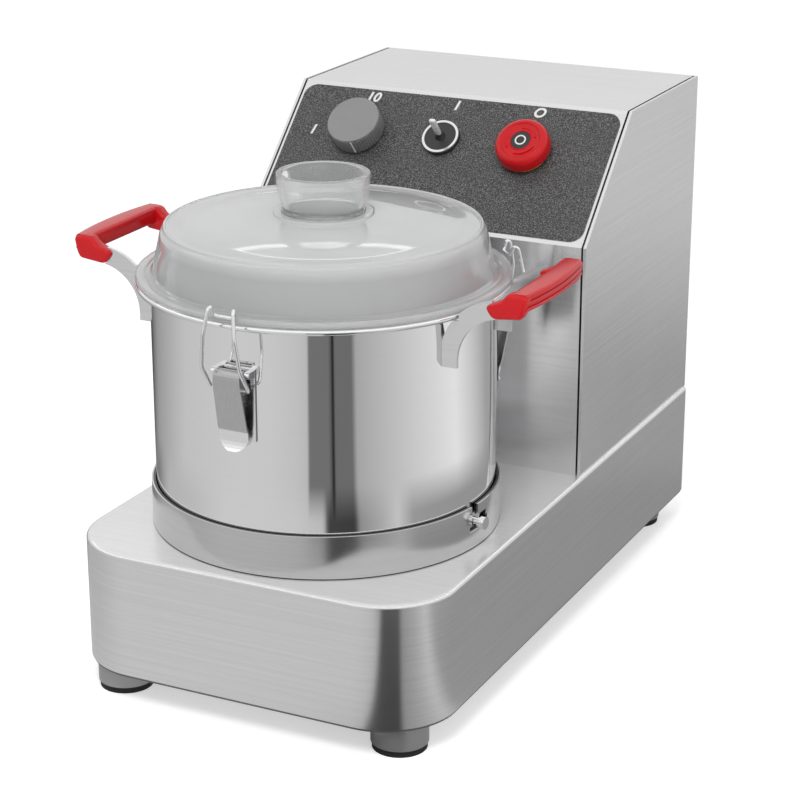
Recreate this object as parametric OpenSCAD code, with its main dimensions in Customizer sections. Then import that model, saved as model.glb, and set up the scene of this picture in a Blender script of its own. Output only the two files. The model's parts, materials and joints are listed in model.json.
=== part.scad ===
// Table-top bowl cutter: a lidded steel bowl over a belt-driven knife, with a control console behind it.
// Millimetres. X runs across the machine, Y from the bowl at the front to the console, Z up from the bench.

/* [Base] */
// Width of the base, side to side
base_w = 300; // [290:1:340]
// Depth of the base, front to back
base_d = 546; // [530:1:600]
// Height of the base's top above the bench
base_top_z = 121.5; // [112:0.5:140]
// Plan radius of the base's front corners
base_front_r = 56; // [30:1:70]
// Plan radius of the base's rear corners
base_rear_r = 10; // [6:1:20]
// Rounding of the base's top edge
base_edge_r = 3; // [2.5:0.5:5]
// Thickness of the casing sheet
sheet_t = 1.5; // [1:0.1:2]
// Thickness of the plate that closes the base from below
base_plate_t = 2; // [1.5:0.5:3]

/* [Feet] */
// Height of a foot
foot_h = 23; // [18:1:30]
// Radius of a foot
foot_r = 21.3; // [16:0.1:25]
// Thickness of the rubber under a foot
foot_pad_t = 5; // [3:0.5:8]
// Distance of a foot's centre in from the base's sides
foot_inset_x = 34.25; // [28:0.25:45]
// Distance of a foot's centre in from the base's front and back
foot_inset_y = 34; // [28:1:45]

/* [Bowl and its ring] */
// Outer radius of the bowl
bowl_r = 128.5; // [120:0.5:132]
// Height of the bowl from its floor to its rim
bowl_h = 186; // [170:1:200]
// Thickness of the bowl's sheet
bowl_wall = 1.5; // [1:0.1:2]
// How far the rolled rim stands out from the bowl's wall
rim_out = 10.7; // [9:0.1:12]
// Outer radius of the bend between the bowl's wall and its floor
bowl_corner_r = 18; // [10:1:25]
// Height of the ring that the bowl stands in
ring_h = 33; // [30:1:40]
// Thickness of that ring
ring_wall = 3; // [2:0.5:4]
// Radial gap between the bowl and its ring
ring_gap = 0.7; // [0.5:0.1:1.5]
// Distance from the base's front edge to the ring
ring_front_gap = 11.3; // [8:0.1:20]
// Angle that the bowl turns to lock in its ring
lock_angle = 6; // [4:0.5:7]

/* [Lid and feed cup] */
// Thickness of the lid's flat rim
lid_rim_t = 4.4; // [3.5:0.1:6]
// Height of the lid's shoulder above its rim
lid_shoulder_h = 34.6; // [28:0.1:45]
// Rise of the lid from its shoulder to its feed hole
lid_crown_h = 6.7; // [4:0.1:12]
// Thickness of the lid's clear wall
lid_wall = 3; // [2:0.1:4]
// Radius of the feed hole in the lid
feed_hole_r = 30.3; // [26:0.1:34]
// Height of the feed cup above the lid's collar
cup_h = 29.4; // [22:0.1:36]
// Radius of the feed cup's mouth
cup_mouth_r = 34.6; // [32:0.1:38]
// Wall of the feed cup
cup_wall = 4; // [3:0.1:5]

/* [Latches] */
// Half the width of the plate under a latch
latch_half_w = 15.4; // [14:0.1:18]
// Diameter of the spring wire of a bail
wire_d = 2.8; // [2:0.1:3]
// Angle that a latch's lever turns outward
lever_swing = 110; // [90:5:115]

/* [Handles] */
// Distance of a handle's arms from the handle's middle, to their outer faces
handle_half_w = 49; // [44:0.5:54]
// Thickness of a handle's arms
arm_t = 3; // [2.5:0.5:4]
// Width of the strip of an arm
arm_w = 13.5; // [11:0.5:15]
// Inner bend radius of an arm
arm_bend_r = 35; // [32:0.5:38]
// How far the grip bows outward in its middle
grip_bow = 4.8; // [2:0.1:8]

/* [Console] */
// Height of the console's front wall
console_front_h = 187.4; // [175:0.1:200]
// Depth of the sloping panel, front to back
panel_run = 92.1; // [80:0.1:105]
// Rise of the sloping panel
panel_rise = 89.2; // [75:0.1:100]
// Distance between the bowl's rim and the console
console_gap = 12.3; // [10:0.1:30]
// Distance of the console in from the base's sides and back
console_inset = 3; // [2:0.5:8]
// Width of the dark seam beside the front sheet
seam_w = 1.6; // [1:0.1:3]
// Width of the folded edge of a side panel
hem_t = 2.3; // [2:0.1:4]
// Thickness of the printed control label
label_t = 1; // [0.5:0.1:2]

/* [Controls] */
// Radius of the speed knob at its foot
knob_r = 22.3; // [18:0.1:24]
// Height of the speed knob
knob_h = 16.1; // [12:0.1:22]
// Radius of the start switch's bezel
bezel_r = 15.35; // [13:0.05:18]
// Length of the start switch's toggle beyond its pivot
toggle_len = 26; // [20:1:32]
// Radius of the stop button's rim
stop_r = 22.35; // [19:0.05:25]
// Travel of the stop button
stop_travel = 4; // [3:0.5:4]

/* [Drive] */
// Radius of the motor's housing
motor_r = 75; // [60:1:85]
// Height of the motor's housing
motor_h = 177.5; // [150:0.5:185]
// Radius of the spindle in its bearings
spindle_r = 10; // [9:0.5:11]
// Radius of the motor's shaft
motor_shaft_r = 9; // [7:0.5:10]
// Running radius of the spindle's pulley
spindle_pulley_r = 35; // [30:1:45]
// Running radius of the motor's pulley
motor_pulley_r = 30; // [25:1:40]
// Width of the belt
belt_w = 10; // [8:1:14]
// Thickness of the belt
belt_t = 4; // [3:0.5:6]

/* [Knife] */
// Radius that the knife's tips sweep
knife_r = 122; // [100:1:123]
// Thickness of a knife blade
blade_t = 3; // [2:0.5:4]
// Height of the lower blade above the bowl's floor
knife_floor_gap = 5.5; // [4:0.5:10]
// Height of the upper blade above the lower one
blade_pitch = 31; // [20:1:40]

/* [Fits] */
// Radial running clearance of a shaft or pin in its hole
fit_gap = 0.05; // [0.03:0.01:0.08]
// Clearance between pieces that move past each other
free_gap = 0.3; // [0.2:0.05:0.4]

/* [Hidden] */
$fn = 72;

// Overrun of every cut past the face that it leaves
over = 1;
// Gap between pieces that are joined on a curved face
weld_gap = 0.05;

// Base
base_plate_z = foot_h;
shell_z = base_plate_z + base_plate_t;
base_under_z = base_top_z - sheet_t;
base_plate_inset = 1;
foot_stud_r = 4;
foot_stud_h = 12;
foot_x = base_w / 2 - foot_inset_x;
foot_y = base_d / 2 - foot_inset_y;
foot_edge_r = 2;

// Places of the bowl and the console along Y
ring_r = bowl_r + ring_gap + ring_wall;
rim_r = bowl_r + rim_out;
bowl_y = -base_d / 2 + ring_front_gap + ring_r;
console_y = bowl_y + rim_r + console_gap;
console_back_y = base_d / 2 - console_inset;

// Bowl
bowl_floor_gap = 2.5;
bowl_floor_z = base_top_z + bowl_floor_gap;
rim_z = bowl_floor_z + bowl_h;
roll_r = 2.2;
rim_bend_r = 3;
tube_r = 20;
tube_h = 72;

// Bayonet slots of the ring and studs of the bowl
stud_angles = [-6.9, 173.1];
stud_h = 21;
stud_r = 3.5;
stud_head_r = 4.7;
stud_head_gap = 5.8;
stud_head_t = 4;
slot_w = 8;
slot_floor_h = 13.5;
slot_roof_h = 25;
slot_notch_w = 6.7;
slot_notch_h = 4.5;
slot_end_gap = 2;
lock_run = ring_r * sin(lock_angle);

// Bush that the bowl turns on, over the neck of the bearing housing
neck_r = 15.5;
neck_h = 28.5;
bush_r = tube_r - fit_gap;
bush_h = 26.5;
bush_foot_r = 24;
bush_foot_t = bowl_floor_gap - 2 * free_gap;

// Lid, measured up from the rim
lid_z = rim_z + free_gap;
lid_rim_z = lid_z + lid_rim_t;
lid_foot_in = 12.4;
lid_shoulder_in = 18.7;
lid_bend_r = 8;
bead_r = 1.2;
collar_r = 37;
collar_t = 2;
boss_wall = 2.3;
boss_h = 23.3;
seal_in = 6;
seal_w = 4;
seal_t = 1.7;
shoulder_z = lid_rim_z + lid_shoulder_h;
crown_z = shoulder_z + lid_crown_h;
collar_z = crown_z + collar_t;

// Feed cup
cup_plug_gap = 0.4;
cup_plug_h = 20;
cup_foot_t = 4;
cup_step = 0.9;
cup_step_t = 2;
cup_lip_t = 3;
cup_waist_r = 28.3;
cup_belly_share = 0.15;

// Latches, in a frame with X along the radius and Y along the wall
latch_angles = [-91, 41, 139];
latch_plate_t = 1.5;
latch_top_drop = 34;
latch_plate_h = 53.5;
hinge_out = 6;
hinge_drop = 37;
pin_r = 1.5;
barrel_r = 2.6;
knuckle_w = 4.2;
lever_t = 1.4;
lever_top_half_w = 10.5;
lever_tip_r = 12;
lever_cheek_t = 1.2;
lever_drop = 95;
bail_out = 8.2;
bail_drop = 48.4;
bail_bow_shares = [1.44, 1.678, 1.22];
bail_level_shares = [-0.63, -0.155, 0.233];
bail_width_shares = [0.82, 0.65, 0.6, 0.57];
lever_lip_share = 1.6;
lever_bulge_share = 3;
lever_shoulder_share = 2.5;
lever_waist_share = 1.5;
wire_r = wire_d / 2;
bend_swell = 1.04;
drawn_share = 0.95;

// Handles, in a frame with X outward from the bowl's axis
handle_angles = [0, 180];
arm_centre_out = 37;
arm_centre_drop = 34.5;
arm_foot_h = 5.5;
arm_rim_gap = 0.5;
arm_end_angle = 100;
arm_lap_angle = 108;
grip_cap_t = 11;
grip_in = 42.5;
grip_w = 12.5;
grip_rise = 21;
grip_cap_shares = [
    [1.405, 0.024], [2.452, 0.143], [2.571, 0.357], [2.69, 0.952], [1.976, 1], [1.738, 0.714], [1.119, 0.452]
];
grip_h = 13;
grip_rod_w = 6;
grip_rod_in = 44.5;
grip_rod_drop = 11;
groove_w = 1.4;
groove_d = 0.8;

// Console
fold_z = base_top_z + console_front_h;
console_top_z = fold_z + panel_rise;
panel_angle = atan2(panel_rise, panel_run);
panel_len = norm([panel_run, panel_rise]);
console_half_w = base_w / 2 - console_inset;
front_half_w = console_half_w - hem_t - seam_w;
flange_w = 12;
rear_face_y = console_back_y - sheet_t;
label_side_gap = 6.3;
label_low_gap = 4.3;
label_high_gap = 4.7;
label_corner_r = 11;
vent_w = 3;
vent_len = 70;
vent_pitch = 9;
vent_rows = 12;
vent_top_drop = 60;
vent_x = 50;
screw_r = 2;
screw_head_r = 4;
screw_head_t = 2;
screw_len = 8;
screw_edge = 8;
screw_levels_share = [0.06, 0.5, 0.94];

// Cable gland in the rear panel
gland_x = -100;
gland_rise = 28.5;
gland_thread_r = 8;
gland_bore_r = 5;
gland_hex_r = 12;
gland_hex_t = 5;
gland_nose_r = 9;
gland_out = 11.62;
gland_in = 8;
gland_z = base_top_z + gland_rise;

// Controls, placed by their distance from the middle and up the slope from its fold
knob_at = [-77.5, 81.8];
switch_at = [-3.2, 82.7];
stop_at = [71.4, 80];
pot_shaft_r = 3;
pot_bush_r = 4.5;
pot_nut_r = 7;
pot_nut_t = 2;
pot_body_r = 12;
pot_body_t = 14;
knob_lift = 2.5;
knob_top_r = 21.3;
knob_recess_r = 9;
knob_recess_t = 3;
knob_rim_t = 1.5;
knob_flutes = 40;
flute_r = 0.9;
flute_out = 0.3;
cap_gap_r = 1.8;
cap_t = 1.2;
cap_sink = 0.3;
bezel_t = 1.5;
bezel_top = 6;
bezel_w = 2;
face_sink = 0.6;
switch_barrel_r = 8;
switch_body_w = 24;
switch_body_len = 30;
switch_body_t = 26;
pivot_h = 3;
ball_r = 4.5;
toggle_r = 2.1;
toggle_pin_r = 1.2;
toggle_pin_len = 14;
stop_collar_r = 19;
stop_collar_t = 2.7;
stem_r = 6;
stem_low = 12;
stem_top = 12;
stop_rim_low = 8;
stop_rim_t = 6;
stop_edge_r = 2;
stop_face_h = 18.5;
stop_face_r = 17;
stop_inset_r = 8.2;
stop_inset_t = 0.6;
block_w = 30;
block_t = 34;

// Drive
belt_rise = 25;
belt_z = shell_z + belt_rise;
pulley_flange_t = 3;
pulley_flange_out = 5;
motor_y = (console_y + console_back_y) / 2;
spindle_at = [0, bowl_y];
motor_at = [0, motor_y];
mount_t = 6;
mount_r = motor_r + 10;
mount_hole_r = 30;
motor_z = base_top_z + mount_t;
motor_wall = 5;
motor_cap_t = 22.5;
bearing_out = 10;
bearing_t = 12;
bearing_seat = 7.5;
bearing_groove = 0.6;
bearing_race = 3;
stator_gap = 15;
stator_t = 24.45;
rotor_gap = 0.5;
barrel_low = 56;
barrel_wall = 6;
housing_flange_r = 50;
housing_flange_t = 8;
seal_depth = 6;
seal_wall = 1.5;
spindle_clear = 0.5;
shaft_low = 12;
hub_bore_r = 8;
spindle_shoulder_h = 76;
spindle_nose_h = 22;

// Knife
sleeve_gap = 1.5;
sleeve_wall = 4;
hub_foot_out = 4;
hub_foot_t = 3;
hub_cap_t = 14;
knob_wrap = 8;
knob_roof_t = 3;
knob_grip_r = 14;
knob_grip_h = 15;
knob_lobes = 8;
lobe_r = 3;
blade_fall_share = 0.16;
blade_edge_shares = [0.58, 0.49];
blade_root_share = 0.22;
tube_outer_r = tube_r + bowl_wall;
sleeve_in_r = tube_outer_r + sleeve_gap;
sleeve_r = sleeve_in_r + sleeve_wall;
hub_foot_r = sleeve_r + hub_foot_out;
hub_z = bowl_floor_z + bowl_wall + knife_floor_gap;
lower_blade_z = hub_z + hub_foot_t;
upper_blade_z = lower_blade_z + blade_pitch;
shoulder_top_z = bowl_floor_z + spindle_shoulder_h;
hub_cap_z = shoulder_top_z + free_gap;
hub_top_z = hub_cap_z + hub_cap_t;
knob_skirt_z = hub_top_z - knob_wrap;
spindle_top_z = shoulder_top_z + spindle_nose_h;

// Control board beside the motor
board_motor_gap = 10;
board_len = 130;
board_t = 1.6;
board_post_r = 3;
board_post_h = 8;
board_side_gap = 12;
sink_w = 18;
sink_len = 60;
sink_h = 30;
capacitor_r = 12;
capacitor_h = 40;
relay_w = 16;
relay_h = 18;

// Points of an arc from one angle to another
function arc_points(centre, r, from, to, steps = 8) =
    [for (i = [0 : steps]) centre + r * [cos(from + (to - from) * i / steps), sin(from + (to - from) * i / steps)]];

// Points of a curve with one control point
function bend_points(a, b, c, steps = 6) =
    [for (i = [0 : steps]) let (u = i / steps) (1 - u) * (1 - u) * a + 2 * u * (1 - u) * b + u * u * c];

// Unit normal of a line of points at one of them
function side_of(line, i) =
    let (
        before = line[max(i - 1, 0)],
        after = line[min(i + 1, len(line) - 1)],
        run = (after - before) / norm(after - before)
    ) [-run[1], run[0]];

// A strip of even thickness along a line of points
module strip(line, t) {
    last = len(line) - 1;
    polygon(concat(
        [for (i = [0 : last]) line[i] - side_of(line, i) * t / 2],
        [for (i = [last : -1 : 0]) line[i] + side_of(line, i) * t / 2]
    ));
}

module at_bowl() {
    translate([0, bowl_y, 0])
        children();
}

// A frame on the bowl's wall: X along the radius, Y along the wall
module around_bowl(angle) {
    at_bowl()
        rotate([0, 0, angle])
            children();
}

// A frame on the sloping panel: Y up the slope, Z out of the panel
module on_panel(at, h = 0) {
    translate([0, console_y, fold_z])
        rotate([panel_angle, 0, 0])
            translate([at[0], at[1], h])
                children();
}

module tube(r_out, r_in, h) {
    difference() {
        cylinder(h = h, r = r_out);
        translate([0, 0, -over])
            cylinder(h = h + 2 * over, r = r_in);
    }
}

module rod(from, to, r) {
    run = to - from;
    translate(from)
        rotate([0, acos(run[2] / norm(run)), atan2(run[1], run[0])])
            cylinder(h = norm(run), r = r);
}

// A round wire through points, drawn a little thinner in every other run, with a swollen ball at each bend
module wire(path, r) {
    for (i = [0 : len(path) - 2])
        rod(path[i], path[i + 1], i % 2 == 0 ? r : r * drawn_share);
    for (i = [1 : len(path) - 2])
        translate(path[i])
            sphere(r = r * bend_swell);
}

// Extrudes a radius and height section along the wall direction
module across(w) {
    rotate([90, 0, 0])
        linear_extrude(w, center = true)
            children();
}

// A closed box with rounded plan corners and a rounded top edge
module soft_box(w, d, h, front_r, rear_r, edge_r) {
    module edge_section(reach) {
        square([reach - edge_r, h]);
        square([reach, h - edge_r]);
        translate([reach - edge_r, h - edge_r])
            circle(edge_r);
    }
    module corner_post(x, y, r) {
        translate([x, y, 0])
            rotate_extrude()
                edge_section(r);
    }
    module side_run(from, to) {
        translate([0, to, 0])
            rotate([90, 0, 0])
                linear_extrude(to - from)
                    union() {
                        edge_section(w / 2);
                        mirror([1, 0])
                            edge_section(w / 2);
                    }
    }
    module end_run(x, turn, depth_at) {
        translate([turn > 0 ? x : -x, depth_at, 0])
            rotate([90, 0, turn > 0 ? -90 : 90])
                linear_extrude(2 * x)
                    edge_section(d / 2 - abs(depth_at));
    }
    for (side = [-1, 1]) {
        corner_post(side * (w / 2 - front_r), -d / 2 + front_r, front_r);
        corner_post(side * (w / 2 - rear_r), d / 2 - rear_r, rear_r);
    }
    side_run(-d / 2 + front_r, d / 2 - rear_r);
    end_run(w / 2 - front_r, 1, -d / 2 + front_r);
    end_run(w / 2 - rear_r, -1, d / 2 - rear_r);
}

// The rounded plan outline of the base, drawn in by a margin
module base_plan(margin) {
    union() {
        for (side = [-1, 1]) {
            translate([side * (base_w / 2 - base_front_r), -base_d / 2 + base_front_r])
                circle(base_front_r - margin);
            translate([side * (base_w / 2 - base_rear_r), base_d / 2 - base_rear_r])
                circle(base_rear_r - margin);
        }
        translate([-base_w / 2 + margin, -base_d / 2 + base_front_r])
            square([base_w - 2 * margin, base_d - base_front_r - base_rear_r]);
        translate([-base_w / 2 + base_front_r, -base_d / 2 + margin])
            square([base_w - 2 * base_front_r, base_front_r]);
        translate([-base_w / 2 + base_rear_r, base_d / 2 - base_rear_r - over])
            square([base_w - 2 * base_rear_r, base_rear_r + over - margin]);
    }
}

module base_shell() {
    color("silver")
        difference() {
            translate([0, 0, shell_z])
                soft_box(base_w, base_d, base_top_z - shell_z, base_front_r, base_rear_r, base_edge_r);
            translate([0, 0, shell_z - over])
                soft_box(
                    base_w - 2 * sheet_t, base_d - 2 * sheet_t, base_under_z - shell_z + over,
                    base_front_r - sheet_t, base_rear_r - sheet_t, base_edge_r - sheet_t
                );
            translate([0, bowl_y, shell_z])
                cylinder(h = base_top_z, r = neck_r + weld_gap);
            translate([0, motor_y, shell_z])
                cylinder(h = base_top_z, r = mount_hole_r);
        }
}

module at_feet() {
    for (x = [-foot_x, foot_x], y = [-foot_y, foot_y])
        translate([x, y, 0])
            children();
}

module base_plate() {
    color("dimgray")
        difference() {
            translate([0, 0, base_plate_z])
                linear_extrude(base_plate_t)
                    base_plan(base_plate_inset);
            at_feet()
                cylinder(h = base_top_z, r = foot_stud_r + weld_gap);
        }
}

module foot_cups() {
    color("silver")
        at_feet() {
            translate([0, 0, foot_pad_t])
                rotate_extrude() {
                    square([foot_r - foot_edge_r, foot_h - foot_pad_t]);
                    square([foot_r, foot_h - foot_pad_t - foot_edge_r]);
                    translate([foot_r - foot_edge_r, foot_h - foot_pad_t - foot_edge_r])
                        circle(foot_edge_r);
                }
            translate([0, 0, foot_h - foot_edge_r])
                cylinder(h = foot_stud_h, r = foot_stud_r);
        }
}

module foot_pads() {
    color("black")
        at_feet()
            cylinder(h = foot_pad_t, r = foot_r - foot_edge_r / 2);
}

module bowl_ring() {
    color("silver")
        difference() {
            translate([0, bowl_y, base_top_z])
                tube(ring_r, ring_r - ring_wall, ring_h);
            for (angle = stud_angles)
                around_bowl(angle)
                    translate([bowl_r / 2, 0, base_top_z]) {
                        translate([0, -slot_w / 2, slot_floor_h])
                            cube([bowl_r, slot_w, ring_h]);
                        translate([0, 0, slot_floor_h])
                            cube([bowl_r, lock_run + stud_r + slot_end_gap, slot_roof_h - slot_floor_h]);
                        translate([0, -slot_notch_w, slot_floor_h])
                            cube([bowl_r, slot_notch_w, slot_notch_h]);
                    }
        }
}

// Band of even depth inside the console's side outline, open below and behind
module console_band(depth) {
    inner_low = [console_y + depth, base_top_z - over];
    inner_fold = [console_y + depth, fold_z - depth * (1 - sin(panel_angle)) / cos(panel_angle)];
    inner_top = [
        console_y + panel_run + depth * (1 - cos(panel_angle)) / sin(panel_angle),
        console_top_z - depth
    ];
    difference() {
        console_outline();
        polygon([
            inner_low, inner_fold, inner_top,
            [console_back_y + over, console_top_z - depth],
            [console_back_y + over, base_top_z - over]
        ]);
    }
}

// Side outline of the console, along Y and Z
module console_outline() {
    polygon([
        [console_y, base_top_z],
        [console_y, fold_z],
        [console_y + panel_run, console_top_z],
        [rear_face_y, console_top_z],
        [rear_face_y, base_top_z]
    ]);
}

// Extrudes a section drawn along Y and Z across X
module side_extrude(from, to) {
    translate([from, 0, 0])
        rotate([90, 0, 90])
            linear_extrude(to - from)
                children();
}

module console_front() {
    color("silver")
        difference() {
            union() {
                side_extrude(-front_half_w, front_half_w)
                    console_band(sheet_t);
                for (x = [-front_half_w, front_half_w - sheet_t])
                    side_extrude(x, x + sheet_t)
                        console_band(flange_w);
                translate([-front_half_w, console_y, base_top_z])
                    cube([2 * front_half_w, flange_w, sheet_t]);
            }
            on_panel(knob_at, -flange_w)
                cylinder(h = 2 * flange_w, r = pot_bush_r + weld_gap);
            on_panel(switch_at, -flange_w)
                cylinder(h = 2 * flange_w, r = switch_barrel_r + weld_gap);
            on_panel(stop_at, -flange_w)
                cylinder(h = 2 * flange_w, r = stem_r + free_gap);
        }
}

module at_screws() {
    for (side = [-1, 1], level = screw_levels_share)
        translate([
            side * (console_half_w - screw_edge),
            rear_face_y,
            base_top_z + (console_top_z - base_top_z) * level
        ])
            rotate([-90, 0, 0])
                children();
}

module console_side(side) {
    color("silver")
        difference() {
            mirror([side > 0 ? 0 : 1, 0, 0]) {
                side_extrude(console_half_w - sheet_t, console_half_w)
                    console_outline();
                side_extrude(console_half_w - hem_t, console_half_w)
                    console_band(flange_w);
                translate([console_half_w - flange_w, rear_face_y - hem_t, base_top_z])
                    cube([flange_w, hem_t, console_top_z - sheet_t - free_gap - base_top_z]);
            }
            side_clearance();
            at_screws()
                translate([0, 0, -flange_w])
                    cylinder(h = 2 * flange_w, r = screw_r + weld_gap);
        }
}

// Room that the front sheet and its flanges take between the side panels
module side_clearance() {
    translate([-front_half_w - free_gap, console_y - over, console_top_z - flange_w - free_gap])
        cube([2 * (front_half_w + free_gap), base_d, flange_w + over]);
}

module console_rear() {
    color("silver")
        difference() {
            translate([-console_half_w, rear_face_y, base_top_z])
                cube([2 * console_half_w, sheet_t, console_top_z - base_top_z]);
            for (x = [-vent_x, vent_x], row = [0 : vent_rows - 1])
                translate([
                    x - vent_len / 2,
                    rear_face_y - over,
                    console_top_z - vent_top_drop - row * vent_pitch
                ])
                    cube([vent_len, sheet_t + 2 * over, vent_w]);
            at_screws()
                translate([0, 0, -over])
                    cylinder(h = sheet_t + 2 * over, r = screw_r + weld_gap);
            translate([gland_x, rear_face_y - over, gland_z])
                rotate([-90, 0, 0])
                    cylinder(h = sheet_t + 2 * over, r = gland_thread_r + weld_gap);
        }
}

module casing_screws() {
    color("gainsboro")
        at_screws() {
            translate([0, 0, sheet_t])
                cylinder(h = screw_head_t, r1 = screw_head_r, r2 = screw_head_r - screw_head_t / 2);
            translate([0, 0, sheet_t - screw_len])
                cylinder(h = screw_len, r = screw_r);
        }
}

module inlet_gland() {
    color("black")
        translate([gland_x, rear_face_y, gland_z])
            rotate([-90, 0, 0])
                difference() {
                    union() {
                        translate([0, 0, -gland_in])
                            cylinder(h = gland_in + sheet_t + gland_hex_t, r = gland_thread_r);
                        translate([0, 0, sheet_t])
                            cylinder(h = gland_hex_t, r = gland_hex_r, $fn = 6);
                        translate([0, 0, -gland_hex_t])
                            cylinder(h = gland_hex_t, r = gland_hex_r, $fn = 6);
                        translate([0, 0, sheet_t])
                            cylinder(h = gland_out, r = gland_nose_r);
                    }
                    translate([0, 0, -gland_in - over])
                        cylinder(h = gland_in + gland_out + sheet_t + 2 * over, r = gland_bore_r);
                }
}

module control_label() {
    half_w = console_half_w - label_side_gap;
    high = panel_len - label_high_gap;
    color("black")
        difference() {
            on_panel([0, 0])
                linear_extrude(label_t)
                    union() {
                        for (x = [-1, 1])
                            for (s = [label_low_gap + label_corner_r, high - label_corner_r])
                                translate([x * (half_w - label_corner_r), s])
                                    circle(label_corner_r);
                        translate([-half_w, label_low_gap + label_corner_r])
                            square([2 * half_w, high - label_low_gap - 2 * label_corner_r]);
                        translate([-half_w + label_corner_r, label_low_gap])
                            square([2 * (half_w - label_corner_r), high - label_low_gap]);
                    }
            on_panel(knob_at, -over)
                cylinder(h = label_t + 2 * over, r = pot_bush_r + weld_gap);
            on_panel(switch_at, -over)
                cylinder(h = label_t + 2 * over, r = switch_barrel_r + weld_gap);
            on_panel(stop_at, -over)
                cylinder(h = label_t + 2 * over, r = stem_r + free_gap);
        }
}

module speed_pot() {
    color("slategray")
        on_panel(knob_at)
            difference() {
                union() {
                    translate([0, 0, -sheet_t - pot_body_t])
                        cylinder(h = pot_body_t, r = pot_body_r);
                    translate([0, 0, -sheet_t - over])
                        cylinder(h = sheet_t + over + label_t + pot_nut_t, r = pot_bush_r);
                    translate([0, 0, label_t])
                        cylinder(h = pot_nut_t, r = pot_nut_r, $fn = 6);
                }
                translate([0, 0, -sheet_t - pot_body_t / 2])
                    cylinder(h = pot_body_t + knob_h, r = pot_shaft_r + fit_gap);
            }
}

module pot_shaft() {
    color("gainsboro")
        on_panel(knob_at, -sheet_t - pot_body_t / 2 + free_gap)
            cylinder(
                h = sheet_t + pot_body_t / 2 - free_gap + knob_lift + knob_h - cap_t - knob_recess_t,
                r = pot_shaft_r
            );
}

module speed_knob() {
    socket_h = knob_h - cap_t - knob_recess_t;
    color("dimgray")
        on_panel(knob_at, knob_lift)
            difference() {
                union() {
                    linear_extrude(knob_h - knob_rim_t)
                        difference() {
                            circle(knob_r);
                            for (i = [0 : knob_flutes - 1])
                                rotate(360 * i / knob_flutes)
                                    translate([knob_r + flute_out, 0])
                                        circle(flute_r, $fn = 24);
                        }
                    cylinder(h = knob_h, r = knob_top_r);
                }
                translate([0, 0, -over])
                    cylinder(h = knob_recess_t + over, r = knob_recess_r);
                translate([0, 0, -over])
                    cylinder(h = socket_h + over + weld_gap, r = pot_shaft_r + weld_gap);
                translate([0, 0, knob_h - cap_t])
                    cylinder(h = cap_t + over, r = knob_top_r - cap_gap_r + weld_gap);
            }
}

module knob_cap() {
    color("gray")
        on_panel(knob_at, knob_lift + knob_h - cap_t)
            cylinder(h = cap_t - cap_sink, r = knob_top_r - cap_gap_r);
}

module switch_bezel() {
    color("gainsboro")
        on_panel(switch_at, bezel_top - bezel_t)
            tube(bezel_r, bezel_r - bezel_w, bezel_t);
}

module switch_body() {
    color("black")
        on_panel(switch_at)
            difference() {
                union() {
                    translate([0, 0, label_t])
                        cylinder(h = bezel_top - bezel_t - label_t, r = bezel_r);
                    translate([0, 0, label_t])
                        cylinder(h = bezel_top - face_sink - label_t, r = bezel_r - bezel_w - weld_gap);
                    translate([0, 0, -sheet_t - over])
                        cylinder(h = sheet_t + label_t + 2 * over, r = switch_barrel_r);
                    translate([-switch_body_w / 2, -switch_body_len / 2, -sheet_t - switch_body_t])
                        cube([switch_body_w, switch_body_len, switch_body_t]);
                }
                translate([0, 0, pivot_h]) {
                    sphere(r = ball_r + free_gap);
                    rotate([0, 90, 0])
                        cylinder(h = toggle_pin_len + 2 * free_gap, r = toggle_pin_r + fit_gap, center = true);
                }
            }
}

module switch_lever() {
    color("gainsboro")
        on_panel(switch_at, pivot_h) {
            sphere(r = ball_r);
            rotate([0, 90, 0])
                cylinder(h = toggle_pin_len, r = toggle_pin_r, center = true);
            cylinder(h = toggle_len - toggle_r, r = toggle_r);
            translate([0, 0, toggle_len - toggle_r])
                sphere(r = toggle_r);
        }
}

module stop_collar() {
    color("gold")
        on_panel(stop_at, label_t)
            tube(stop_collar_r, stem_r + free_gap, stop_collar_t);
}

module stop_contact_block() {
    color("darkgreen")
        on_panel(stop_at)
            difference() {
                translate([-block_w / 2, -block_w / 2, -sheet_t - block_t])
                    cube([block_w, block_w, block_t]);
                translate([0, 0, -stem_low - stop_travel - free_gap])
                    cylinder(h = block_t, r = stem_r + free_gap);
            }
}

module stop_stem() {
    color("dimgray")
        on_panel(stop_at, -stem_low)
            cylinder(h = stem_low + stem_top, r = stem_r);
}

module stop_button() {
    color("red")
        on_panel(stop_at, stop_rim_low)
            difference() {
                rotate_extrude()
                    polygon(concat(
                        [[0, 0], [stop_face_r, 0]],
                        arc_points([stop_r - stop_edge_r, stop_edge_r], stop_edge_r, -90, 60, 8),
                        bend_points(
                            [stop_r - stop_edge_r, stop_rim_t],
                            [stop_face_r + stop_edge_r, stop_face_h - stop_rim_low],
                            [stop_face_r - stop_edge_r, stop_face_h - stop_rim_low]
                        ),
                        [[0, stop_face_h - stop_rim_low]]
                    ));
                translate([0, 0, -over])
                    cylinder(h = stem_top - stop_rim_low + over + free_gap, r = stem_r + fit_gap);
                translate([0, 0, stop_face_h - stop_rim_low - stop_inset_t])
                    cylinder(h = stop_inset_t + over, r = stop_inset_r);
            }
}

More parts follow.
